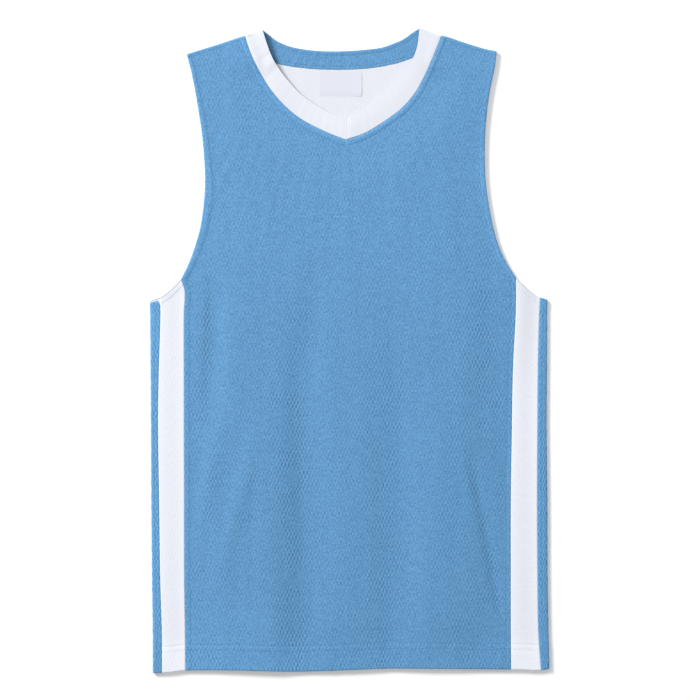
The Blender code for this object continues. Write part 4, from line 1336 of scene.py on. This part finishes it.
def collar_heights(seam, edge, shares, stand, side):
    """Outer and inner points across the collar at each of its stations."""
    thin = RIGHT_EDGE_THIN * (side == "right")
    section = dict(zip(SECTION_COLUMNS, smooth_curve(COLLAR_SECTION).T))
    columns = (section[name] for name in SECTION_COLUMNS[1:])
    underside, lift_share, top = (np.interp(shares, section["share"], column) for column in columns)
    place = seam[:, None] + (edge - seam)[:, None] * shares[:, None]
    to_seam = shares * np.linalg.norm(edge - seam, axis=1)[:, None]
    base = levels(0.0)[1]
    lift = collar_lift(seam)[:, None]
    free_lift = np.maximum(FREE_LIFT * COLLAR_LIFT, lift - COLLAR_LIFT)
    lift = lift * lift_share + np.minimum(lift, free_lift) * (1 - lift_share)
    low = base + underside + lift + thin * grows(shares, THIN_FROM, 1.0)
    along = lengths_of(seam)[:, None] + 0 * to_seam
    relief = COLLAR_RIPPLE * ripple(along, start=5.0) * smooth_step(to_seam / COLLAR_RIPPLE_FROM)
    relief -= COLLAR_GROOVE * rounding(to_seam, COLLAR_GROOVE_ROUND)
    most, start, full = SEAM_RISE[side]
    rise = most * grows(along / along[-1], start, full)
    stand = stand[:, None] * (rise * smooth_step(to_seam / COLLAR_RISE_RUN) + (1 - rise) * shares)
    high = base + top + lift + relief + stand
    inner = np.minimum(low + stand, high - LEAST_COLLAR_WALL + thin)
    return raised(place, high), raised(place, inner), np.stack([along, to_seam], axis=-1)


def make_front_collars(material):
    """The two rib bands of the V, parted by their seam at its point."""
    pieces = {}
    for side, out in WAY_OUT.items():
        stations = np.concatenate([MITRE_STATIONS, np.linspace(EVEN_STATIONS_FROM, 1.0, COLLAR_STATIONS)])
        seam, edge = sample(NECK_SEAM[side], stations), sample(NECK_EDGE[side], stations)
        seam[0, 0] += out * MITRE_GAP
        edge[0, 0] += out * MITRE_GAP
        middle = COLLAR_STATIONS // 2 - 2
        shares = collar_shares(np.linalg.norm(edge[middle] - seam[middle]))
        knots = smooth_curve(COLLAR_STAND[side])
        stand = np.interp(stations, knots[:, 0], knots[:, 1])
        outer, inner, cloth_map = collar_heights(seam, edge, shares, stand, side)
        to_mitre = lengths_of(seam)[:, None]
        swelling = smooth_step(to_mitre / MITRE_WIDTH) * smooth_step(3 - to_mitre / MITRE_WIDTH)
        outer[..., 2] += MITRE_RISE * swelling * (side == "right")
        outer[..., 2] -= COLLAR_GROOVE * rounding(to_mitre, MITRE_ROUND)
        inward = chord_side(np.array((seam[-1], edge[-1])), out)
        skins = [outer[:-1]], [inner[:-1]], [cloth_map[:-1]]
        for number, (inset, height, low) in enumerate(smooth_curve(COLLAR_END)[::2]):
            out_row, in_row = outer[-1].copy(), inner[-1].copy()
            out_row[:, :2] += inward * inset * TURN_REACH
            out_row[:, 2] *= max(height, 0.0)
            in_row[:, :2] += inward * COLLAR_END_WALL
            in_row[:, 2] *= max(low, 0.0)
            map_row = cloth_map[-1] + np.array((END_CLOTH * number, 0.0))
            for rows, row in zip(skins, (out_row, in_row, map_row)):
                rows.append(row[None])
        name = "collar_front_" + side
        pieces[name] = grid_shell(name, *(np.vstack(rows) for rows in skins), [material], facing=-out)
    return pieces


def band_grid():
    """Rows of points across the back neck band from its seam to its free edge, with both distances."""
    seam = band_stations(BAND_SEAM, BAND_COLUMNS_A_SIDE)
    edge = band_stations(BAND_EDGE, BAND_COLUMNS_A_SIDE)
    width = np.linalg.norm(edge - seam, axis=1)
    close = np.array(BAND_SHARES)
    middle = np.linspace(close[-1], 1 - close[-1], BAND_ROWS)[1:-1]
    shares = np.concatenate([close, middle, 1 - close[::-1]])[:, None]
    place = seam + (edge - seam) * shares[..., None]
    return place, shares * width, (1 - shares) * width, lengths_of(seam) + 0 * shares


def make_back_collar(white, blue):
    """The back of the collar: its white outer face on the surface, and its blue inner face on that."""
    place, to_seam, to_edge, along = band_grid()
    cloth_map = np.stack([along, to_seam], axis=-1)
    edge = np.maximum(rounding(to_edge, BAND_RADIUS), rounding(to_seam, BAND_RADIUS))
    skins = raised(place, BACK_WALL - WHITE_ROUND[0] * edge), raised(place, WHITE_ROUND[1] * edge)
    outer_face = grid_shell("collar_back", *skins, cloth_map, [white])
    rise, rise_run = BAND_END_RISE
    ends = np.minimum(along, along[0, -1] - along)
    top = BACK_WALL + GAP + LINING_WALL + rise * smooth_step(ends / rise_run)
    top = top + BAND_RIPPLE * ripple(along, start=0.9)
    top = top + swell(to_seam, *BAND_SWELL["seam"]) + swell(to_edge, *BAND_SWELL["edge"])
    top = top + BAND_PULL * dip(to_seam, BAND_STITCH_LOW) + dip(to_edge, BAND_STITCH_TOP)
    for far, (drop, radius) in ((to_edge, BAND_EDGE_ROUND), (to_seam, BAND_SEAM_ROUND)):
        top = top - drop * rounding(far, radius)
    low = BACK_WALL + GAP + BAND_LOW_ROUND * edge * LINING_WALL
    # painted shadow of the left collar's free edge on the band
    marks = {"backing": swell(distance_to(place, NECK_EDGE["left"]), -BAND_PAINTED_SHADOW, *BAND_SHADOW_PLACE)}
    skins = raised(place, top), raised(place, low)
    inner_face = grid_shell("neck_band", *skins, cloth_map, [blue], marks=marks)
    return {"collar_back": outer_face, "neck_band": inner_face}


def under_collar(side):
    """The line under the front collar where the lining ends, from the point of the V up."""
    shares = even(60)
    seam, edge = sample(NECK_SEAM[side], shares), sample(NECK_EDGE[side], shares)
    return edge + (seam - edge) * LINING_MARGIN


def lining_rows():
    """Rows of the lining that shows in the neck: its lower line follows the V and its upper one the band."""
    left, right = under_collar("left"), under_collar("right")
    left = left[left[:, 1] < LINING_TOP_LEFT]
    right = right[right[:, 1] < LINING_TOP_RIGHT]
    seam = band_stations(BAND_SEAM, LINING_COLUMNS_A_SIDE)
    upper = seam[(seam[:, 0] > left[-1, 0]) & (seam[:, 0] < right[-1, 0])]
    count = len(upper) // 2
    lower = np.vstack([sample(left[::-1], even(count)), sample(right, even(len(upper) - 1 - count))[1:]])
    return lower + (upper - lower) * even(LINING_ROWS)[:, None, None]


def make_lining(white, low):
    """The white lining of the back that shows inside the neck, tucked under the left collar, with painted
    shadow along that collar's free edge.
    """
    rows = lining_rows()
    wavy, stretch = LINING_WAVE
    drop, radius = LINING_ROUND
    to_band = distance_to(rows, BAND_SEAM)
    top = low + LINING_WALL + wavy * waves(rows * stretch) - drop * rounding(to_band, radius)
    shadow_share = LEAST_LINING_SHADOW + (1 - LEAST_LINING_SHADOW) * grows(rows[..., 1], *LINING_SHADOW_HEIGHTS)
    # painted shadow along the left collar's free edge, stronger higher up
    marks = {"backing": shadow_share * swell(distance_to(rows, NECK_EDGE["left"]), -LINING_PAINTED_SHADOW, 0.0, LINING_SHADOW_WIDTH)}
    foot = np.full(top.shape, low)
    return grid_shell("lining", raised(rows, top), raised(rows, foot), rows, [white], marks=marks)


def label_steps(size, count):
    """Places across the label, close together beside its edges."""
    close = np.array(LABEL_STEPS)
    return np.concatenate([close, np.linspace(LABEL_STEP, size - LABEL_STEP, count), size - close[::-1]])


def make_label(label_cloth, low):
    """The bare neck label on the lining, with its right side a little off it."""
    across, along = label_steps(LABEL_WIDTH, LABEL_COLUMNS), label_steps(LABEL_HEIGHT, LABEL_ROWS)
    x, y = np.meshgrid(across + LABEL_CENTRE_X - LABEL_WIDTH / 2, along + LABEL_TOP_Y - LABEL_HEIGHT)
    place = np.stack([x, y], axis=-1)
    along = along[:, None]
    hang = LABEL_LIFT_TOP + (1 - LABEL_LIFT_TOP) * (1 - smooth_step(along / LABEL_HANG))
    side_lift = grows(across, LABEL_LIFT_FROM, LABEL_WIDTH)
    rise = LABEL_LIFT * side_lift * hang * smooth_step((LABEL_HEIGHT - along) / LABEL_HELD) - LABEL_SINK
    laid = 1 - smooth_step(along / LABEL_LAID)
    base = low + LINING_WALL + GAP + rise - (LABEL_LAID_SINK[0] + LABEL_LAID_SINK[1] * side_lift) * laid
    top = base + LABEL_THICK * (1 - LABEL_LAID_THIN * laid)
    return grid_shell("label", raised(place, top), raised(place, base), place, [label_cloth])


def plain_stitch():
    """One stitch along X: a short six-sided length of thread with rounded ends and a raised middle."""
    radius = STITCH_RADIUS * MM
    bpy.ops.mesh.primitive_cylinder_add(
        vertices=6, radius=radius, depth=STITCH_LENGTH * MM, end_fill_type="NGON", rotation=(0, pi / 2, 0))
    stitch = bpy.context.object
    bpy.ops.object.transform_apply(rotation=True)
    bpy.ops.object.mode_set(mode="EDIT")
    bpy.ops.mesh.select_mode(type="FACE")
    bpy.ops.mesh.select_all(action="DESELECT")
    bpy.ops.object.mode_set(mode="OBJECT")
    for face in stitch.data.polygons:
        face.select = len(face.vertices) == 6
    bpy.ops.object.mode_set(mode="EDIT")
    bpy.ops.mesh.inset(thickness=radius * STITCH_TIP[0], depth=radius * STITCH_TIP[1])
    bpy.ops.mesh.select_all(action="SELECT")
    bpy.ops.mesh.bisect(plane_co=(0, 0, 0), plane_no=(1, 0, 0))
    bpy.ops.transform.translate(value=(0, 0, radius * STITCH_ARCH))
    bpy.ops.object.mode_set(mode="OBJECT")
    mesh = stitch.data
    points = np.array([vertex.co[:] for vertex in mesh.vertices]) / MM
    faces = [tuple(face.vertices) for face in mesh.polygons]
    bpy.data.objects.remove(stitch, do_unlink=True)
    bpy.data.meshes.remove(mesh)
    return points, faces


def stitch_places(cloth, line):
    """Where each stitch of a row lies on the cloth: its middle, its way along and its way up."""
    far = lengths_of(line)
    count = max(1, int(far[-1] / STITCH_PITCH))
    middles = (np.arange(count) + 0.5) * far[-1] / count
    steps = (-STITCH_WAY, 0, STITCH_WAY)
    ends = [np.column_stack([np.interp(middles + step, far, axis) for axis in line.T]) for step in steps]
    places = []
    for before, here, after in zip(*ends):
        above = ((here - MIDDLE) * MM).tolist() + [STITCH_FROM * MM]
        found, spot, normal, _ = cloth.ray_cast(Vector(above), Vector((0, 0, -1)))
        if not found or normal.z < STITCH_LEAST_UP:
            continue
        way = Vector((*(after - before), 0)).normalized()
        way = (way - normal * way.dot(normal)).normalized()
        places.append((np.array(spot) / MM, np.array(way), np.array(normal)))
    return places


def sew(name, cloth, rows, material, stitch):
    """Rows of stitches on a piece of cloth, as one joined mesh."""
    bpy.context.view_layer.update()
    shape, shape_faces = stitch
    points, faces, maps = [], [], []
    for line in rows:
        for spot, way, up in stitch_places(cloth, line):
            count = len(points) * len(shape)
            side = np.cross(up, way)
            lying = shape[:, :1] * way + shape[:, 1:2] * side + (shape[:, 2:3] - STITCH_SINK) * up
            points.append(spot + lying)
            faces += [tuple(count + k for k in face) for face in shape_faces]
            maps.append(shape[:, :2] + len(points) * STITCH_SHIFT)
    return piece_from(name, np.vstack(points), faces, np.vstack(maps), [material])


def beside(curve, distance, turn):
    """A line that keeps a distance from a curve."""
    return curve + sideways(curve, turn) * distance


def hem_line(from_x, to_x, height):
    """A line along the hem at a height above its edge."""
    x = np.linspace(from_x, to_x, 60)
    return np.column_stack([x, hem_y(x) + height])


def stitch_rows():
    """The rows of stitches that show on each piece of cloth."""
    front = []
    rows = {"front": front}
    for side, out in WAY_OUT.items():
        fold, strip, seam = (SIDE[name + "_" + side][-1][0] for name in ("edge", "strip", "seam"))
        front.append(side_line(SIDE_SEAM[side], SIDE_STITCH_TOP) - np.array((out * SEAM_STITCH[side], 0)))
        inside = ARMHOLE_STITCH[side]
        inside = np.interp(even(len(ARMHOLE[side]) - 1), even(len(inside) - 1), inside)
        front.append(beside(ARMHOLE[side], inside[:, None], -out))
        neck_line = beside(NECK_SEAM[side], NECK_STITCH, -out)
        front.append(neck_line[neck_line[:, 1] < NECK_STITCH_TOP])
        front.append(beside(SHOULDER[side], SHOULDER_STITCH, -out))
        panel = [side_line(SIDE["strip_" + side], PANEL_STITCH_TOP) + np.array((out * STRIP_STITCH, 0))]
        stripe = [beside(UNDERARM[side], UNDERARM_STITCH, -out)]
        across_stripe = sorted((seam + out * HEM_STITCH_END, strip - out * HEM_STITCH_END))
        across_panel = sorted((strip + out * HEM_STITCH_END, fold - out * HEM_STITCH_FOLD))
        stripe += [hem_line(*across_stripe, height) for height in HEM_STITCHES]
        panel += [hem_line(*across_panel, height) for height in HEM_STITCHES]
        rows["side_panel_" + side] = panel
        rows["stripe_front_" + side] = stripe
    span = (SIDE_SEAM["left"][-1][0] + HEM_STITCH_END, SIDE_SEAM["right"][-1][0] - HEM_STITCH_END)
    front += [hem_line(*span, height) for height in HEM_STITCHES]
    rows["neck_band"] = [beside(BAND_SEAM, BAND_STITCH_LOW, 1), beside(BAND_EDGE, BAND_STITCH_TOP, -1)]
    return rows


def make_stitches(cloth, threads):
    """All the sewing that shows, by the cloth it is on, in a thread of the cloth's own finish."""
    stitch = plain_stitch()
    return {
        name: sew("stitches_" + name, cloth[name], rows, threads[CUTS[name][1]], stitch)
        for name, rows in stitch_rows().items()
    }


def linear(colour):
    """An sRGB hex colour as linear values for a shader."""
    channels = [int(colour[k:k + 2], 16) / 255 for k in (0, 2, 4)]
    values = [c / 12.92 if c <= 0.04045 else ((c + 0.055) / 1.055) ** 2.4 for c in channels]
    return (*values, 1.0)


def add(tree, kind, inputs=(), out=0, **settings):
    """An output of a new node with these settings, its inputs set or linked by their order or their names."""
    node = tree.nodes.new("ShaderNode" + kind)
    for name, value in settings.items():
        setattr(node, name, value)
    for place, value in inputs.items() if isinstance(inputs, dict) else enumerate(inputs):
        if isinstance(value, bpy.types.NodeSocket):
            tree.links.new(value, node.inputs[place])
        else:
            node.inputs[place].default_value = value
    return node.outputs[out]


def new_material(name, roughness, sheen, specular=0.3):
    """An empty material with its shader's constants, its tree and its shader."""
    material = bpy.data.materials.new(name)
    material.use_nodes = True
    shader = material.node_tree.nodes["Principled BSDF"]
    shader.inputs["Roughness"].default_value = roughness
    shader.inputs["Metallic"].default_value = 0.0
    shader.inputs["IOR"].default_value = 1.5
    shader.inputs["Specular IOR Level"].default_value = specular
    shader.inputs["Sheen Weight"].default_value = sheen
    shader.inputs["Sheen Roughness"].default_value = 0.5
    return material, material.node_tree, shader


def cloth_axes(tree):
    """The place in the cloth in millimetres, and its two axes."""
    place = add(tree, "VectorMath", {0: add(tree, "UVMap", uv_map="cloth"), 3: 1 / MM}, operation="SCALE")
    return place, add(tree, "SeparateXYZ", [place], "X"), add(tree, "SeparateXYZ", [place], "Y")


def wave(tree, axis, length):
    """A cosine wave of this length along an axis."""
    turn = add(tree, "Math", [axis, 2 * pi / length], operation="MULTIPLY")
    return add(tree, "Math", [turn], operation="COSINE")


def finish_material(tree, shader, colour, height, distance):
    """Link a material's colour and relief to its shader."""
    relief = {"Strength": 1.0, "Distance": distance * MM, "Height": height}
    tree.links.new(add(tree, "Bump", relief), shader.inputs["Normal"])
    tree.links.new(colour, shader.inputs["Base Color"])


def mesh_knit(name, light, deep, contrast):
    """Polyester warp-knit mesh: rows of small upright eyelets, each row half a step aside from the last.

    The eyelets are sunk and darker, the bars between them catch the light, and the matte yarn has a streaky
    grain. The pattern is drawn coarser than real so that it shows, strays a little and shows more in some
    patches than in others.
    """
    material, tree, shader = new_material(name, roughness=0.72, sheen=0.12)
    place, across, along = cloth_axes(tree)
    # the eyelets' gape, with painted shade on slopes facing away from the key lamp and in valleys
    gape = add(tree, "Attribute", out="Fac", attribute_name="gape")
    # white allowances showing through, with painted shade and painted light from the pieces' marks
    backing = add(tree, "Attribute", out="Fac", attribute_name="backing")

    stretched = add(tree, "VectorMath", [place, (-1.0, 1.3, 1.0)], operation="MULTIPLY")
    sway = add(tree, "TexNoise", {"Vector": place, "Scale": 1 / SWAY_SIZE})
    slip = add(tree, "TexNoise", {"Vector": stretched, "Scale": 1 / SLIP_SIZE})
    sway = add(tree, "Math", [sway, 2 * EYELET_STRAY, -EYELET_STRAY], operation="MULTIPLY_ADD")
    slip = add(tree, "Math", [slip, 4 * EYELET_STRAY, -2 * EYELET_STRAY], operation="MULTIPLY_ADD")
    across_wave = wave(tree, add(tree, "Math", [across, sway], operation="ADD"), EYELET_ACROSS)
    along_wave = wave(tree, add(tree, "Math", [along, slip], operation="ADD"), EYELET_ALONG)
    lattice = add(tree, "Math", [across_wave, along_wave], operation="MULTIPLY")

    patches = add(tree, "TexNoise", {"Vector": place, "Scale": 1 / PATCH_SIZE})
    patches = add(tree, "MapRange", [patches, *PATCH_RANGE], interpolation_type="SMOOTHSTEP")
    opened = add(tree, "Math", [gape, GAPE_SHOWS * EYELET_SHARE, EYELET_SHARE], operation="MULTIPLY_ADD")
    shown = add(tree, "Math", [patches, opened], operation="MULTIPLY")
    eyelets = add(tree, "Math", [lattice, shown], operation="MULTIPLY")

    upright = add(tree, "VectorMath", [place, (1.0, 0.5, 1.0)], operation="MULTIPLY")
    grain = add(tree, "TexNoise", {"Vector": upright, "Scale": 1 / YARN_GRAIN, "Detail": 0.0})
    middle = 0.5 * (1 + YARN_SHARE - sum(share for _, _, share in MOTTLE))
    depth = add(tree, "Math", [grain, -YARN_SHARE, middle], operation="MULTIPLY_ADD")
    depth = add(tree, "Math", [depth, eyelets], operation="ADD")
    for size, detail, share in MOTTLE:
        spots = add(tree, "TexNoise", {"Vector": place, "Scale": 1 / size, "Detail": detail})
        depth = add(tree, "Math", [spots, share, depth], operation="MULTIPLY_ADD")
    depth = add(tree, "Math", [depth, contrast], operation="MULTIPLY")
    knit = add(tree, "Mix", {0: depth, 6: linear(light), 7: linear(deep)}, out=2, data_type="RGBA")
    backing_and_shading_factor = add(tree, "Math", [backing, BACKING_SHOWS, 1.0], operation="MULTIPLY_ADD")
    colour = add(tree, "VectorMath", {0: knit, 3: backing_and_shading_factor}, operation="SCALE")

    bars = add(tree, "Math", [eyelets, -1.0], operation="MULTIPLY")
    height = add(tree, "Math", [grain, YARN_RELIEF, bars], operation="MULTIPLY_ADD")
    finish_material(tree, shader, colour, height, EYELET_DEPTH * contrast)
    return material


def flat_rib(name, light, deep):
    """Polyester flat rib, doubled: fine ribs square to the band, drawn wider than real so that they show."""
    material, tree, shader = new_material(name, roughness=0.7, sheen=0.12)
    place, along, _ = cloth_axes(tree)
    ribs = wave(tree, along, RIB_PITCH)
    ribs = add(tree, "MapRange", [ribs, -1.0, 1.0, 0.0, 1.0], interpolation_type="SMOOTHSTEP")
    grain = add(tree, "TexNoise", {"Vector": place, "Scale": 1 / RIB_GRAIN, "Detail": 1.0})
    depth = add(tree, "Math", [ribs, 0.15], operation="MULTIPLY")
    depth = add(tree, "Math", [grain, 0.5, depth], operation="MULTIPLY_ADD")
    colour = add(tree, "Mix", {0: depth, 6: linear(light), 7: linear(deep)}, out=2, data_type="RGBA")
    height = add(tree, "Math", [grain, 0.8], operation="MULTIPLY")
    height = add(tree, "Math", [height, ribs], operation="SUBTRACT")
    finish_material(tree, shader, colour, height, RIB_RELIEF)
    return material


def satin_tape(name, light, deep):
    """Woven polyester satin label tape: smooth, slightly glossy, with a crosswise weave coarser than real."""
    material, tree, shader = new_material(name, roughness=0.5, sheen=0.05, specular=0.4)
    place, across, along = cloth_axes(tree)
    threads = [wave(tree, axis, pitch) for axis, pitch in zip((across, along), WEAVE_PITCH)]
    weave = add(tree, "Math", threads, operation="MULTIPLY")
    grain = add(tree, "TexNoise", {"Vector": place, "Scale": 1 / WEAVE_GRAIN, "Detail": 1.0})
    depth = add(tree, "Math", [weave, grain], operation="ADD")
    depth = add(tree, "MapRange", [depth, -1.0, 2.0, 0.0, 0.6], interpolation_type="SMOOTHSTEP")
    colour = add(tree, "Mix", {0: depth, 6: linear(light), 7: linear(deep)}, out=2, data_type="RGBA")
    finish_material(tree, shader, colour, weave, WEAVE_RELIEF)
    return material


def spun_thread(name, light, deep):
    """Spun polyester sewing thread: matte, with the twist of its plies across it, drawn to show."""
    material, tree, shader = new_material(name, roughness=0.65, sheen=0.1)
    _, along, across = cloth_axes(tree)
    twist = wave(tree, add(tree, "Math", [along, across], operation="ADD"), TWIST_PITCH)
    depth = add(tree, "MapRange", [twist, -1.0, 1.0, 0.0, 0.5], interpolation_type="SMOOTHSTEP")
    colour = add(tree, "Mix", {0: depth, 6: linear(light), 7: linear(deep)}, out=2, data_type="RGBA")
    finish_material(tree, shader, colour, twist, TWIST_RELIEF)
    return material


def matte_paper(name, light, deep):
    """Seamless white studio paper: matte, with hardly any tooth."""
    material, tree, shader = new_material(name, roughness=0.9, sheen=0.0, specular=0.1)
    tooth = add(tree, "TexNoise", {"Vector": add(tree, "TexCoord", out="Object"), "Scale": 400.0})
    shade = add(tree, "MapRange", [tooth, 0.0, 1.0, 0.985, 1.0], interpolation_type="SMOOTHSTEP")
    tone = add(tree, "Mix", {0: shade, 6: linear(deep), 7: linear(light)}, out=2, data_type="RGBA")
    tree.links.new(tone, shader.inputs["Base Color"])
    return material


def set_camera():
    """A long lens straight above the middle of the jersey."""
    camera = bpy.data.cameras.new("camera")
    camera.lens = 100.0
    camera.sensor_width = 36.0
    camera.clip_start = 0.05
    camera.clip_end = 50.0
    height = VIEW_WIDTH * camera.lens / camera.sensor_width + VIEW_LEVEL
    eye = bpy.data.objects.new("camera", camera)
    eye.location = (*(-MIDDLE * MM), height)
    bpy.context.collection.objects.link(eye)
    bpy.context.scene.camera = eye


def add_lamp(name, place, size, power):
    """A round soft lamp that faces the middle of the jersey."""
    lamp = bpy.data.lights.new(name, "AREA")
    lamp.shape = "DISK"
    lamp.size = size
    lamp.energy = power
    stand = bpy.data.objects.new(name, lamp)
    stand.location = place
    stand.rotation_euler = (-place).to_track_quat("-Z", "Y").to_euler()
    bpy.context.collection.objects.link(stand)


def set_light():
    """A pale studio: soft light all round and one broad lamp low at the upper left."""
    world = bpy.data.worlds.new("studio")
    world.use_nodes = True
    background = world.node_tree.nodes["Background"]
    background.inputs["Color"].default_value = (1.0, 1.0, 1.0, 1.0)
    background.inputs["Strength"].default_value = FILL
    bpy.context.scene.world = world
    rise = radians(KEY_RISE)
    away = Vector((-KEY_WAY[0] * cos(rise), -KEY_WAY[1] * cos(rise), sin(rise)))
    add_lamp("key", away * KEY_DISTANCE, KEY_SIZE, KEY * pi ** 2 * KEY_DISTANCE ** 2 / sin(rise))
    add_lamp("top", Vector(TOP_PLACE), TOP_SIZE, TOP_POWER)
    bpy.context.scene.view_settings.view_transform = "Standard"


def set_floor():
    """A plain pale floor."""
    bpy.ops.mesh.primitive_plane_add(size=12.0, location=(0, 0, -0.0002))
    floor = bpy.context.object
    floor.name = "floor"
    bpy.ops.object.transform_apply(location=True)
    floor.data.materials.append(matte_paper("matte_studio_paper", FLOOR_WHITE, FLOOR_DEEP))


def lay_out(pieces, stitches):
    """Attach each piece and its stitches to the root, and hide the plain solid that each piece but the facing
    replaces.
    """
    for name, piece in pieces.items():
        node, slot, width, length, area, under = CUTS[name]
        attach(piece, "root")
        if name != "underarm_facing":
            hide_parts(node)
        sewing = [stitches[name]] if name in stitches else []
        for thread in sewing:
            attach(thread, "root")


def main():
    """Dress the whole jersey."""
    bpy.ops.object.select_all(action="DESELECT")
    set_camera()
    set_light()
    set_floor()
    bpy.ops.object.select_all(action="DESELECT")
    blue = mesh_knit("blue_polyester_mesh_knit", BLUE, BLUE_DEEP, 0.8)
    white = mesh_knit("white_polyester_mesh_knit", WHITE, WHITE_DEEP, 0.26)
    # a darker copy of the white mesh: painted shade for the recessed lining
    lining = mesh_knit("shaded_white_lining_mesh_knit", LINING_SHADED_WHITE, LINING_SHADED_DEEP, 0.2)
    rib = flat_rib("white_polyester_flat_rib", RIB_WHITE, RIB_DEEP)
    tape = satin_tape("white_satin_label_tape", LABEL_WHITE, LABEL_DEEP)
    blue_thread = spun_thread("blue_spun_thread", BLUE, BLUE_DEEP)
    white_thread = spun_thread("white_spun_thread", WHITE, WHITE_DEEP)
    pieces = {"front": make_front(blue, white), "back": make_back(blue, white)}
    pieces.update(make_stripes(white))
    pieces.update(make_side_panels(blue, white))
    pieces.update(make_front_collars(rib))
    pieces.update(make_back_collar(rib, blue))
    inside = BACK_WALL + GAP
    pieces.update({"lining": make_lining(lining, inside), "label": make_label(tape, inside)})
    stitches = make_stitches(pieces, {"blue_mesh": blue_thread, "white_mesh": white_thread})
    lay_out(pieces, stitches)


main()
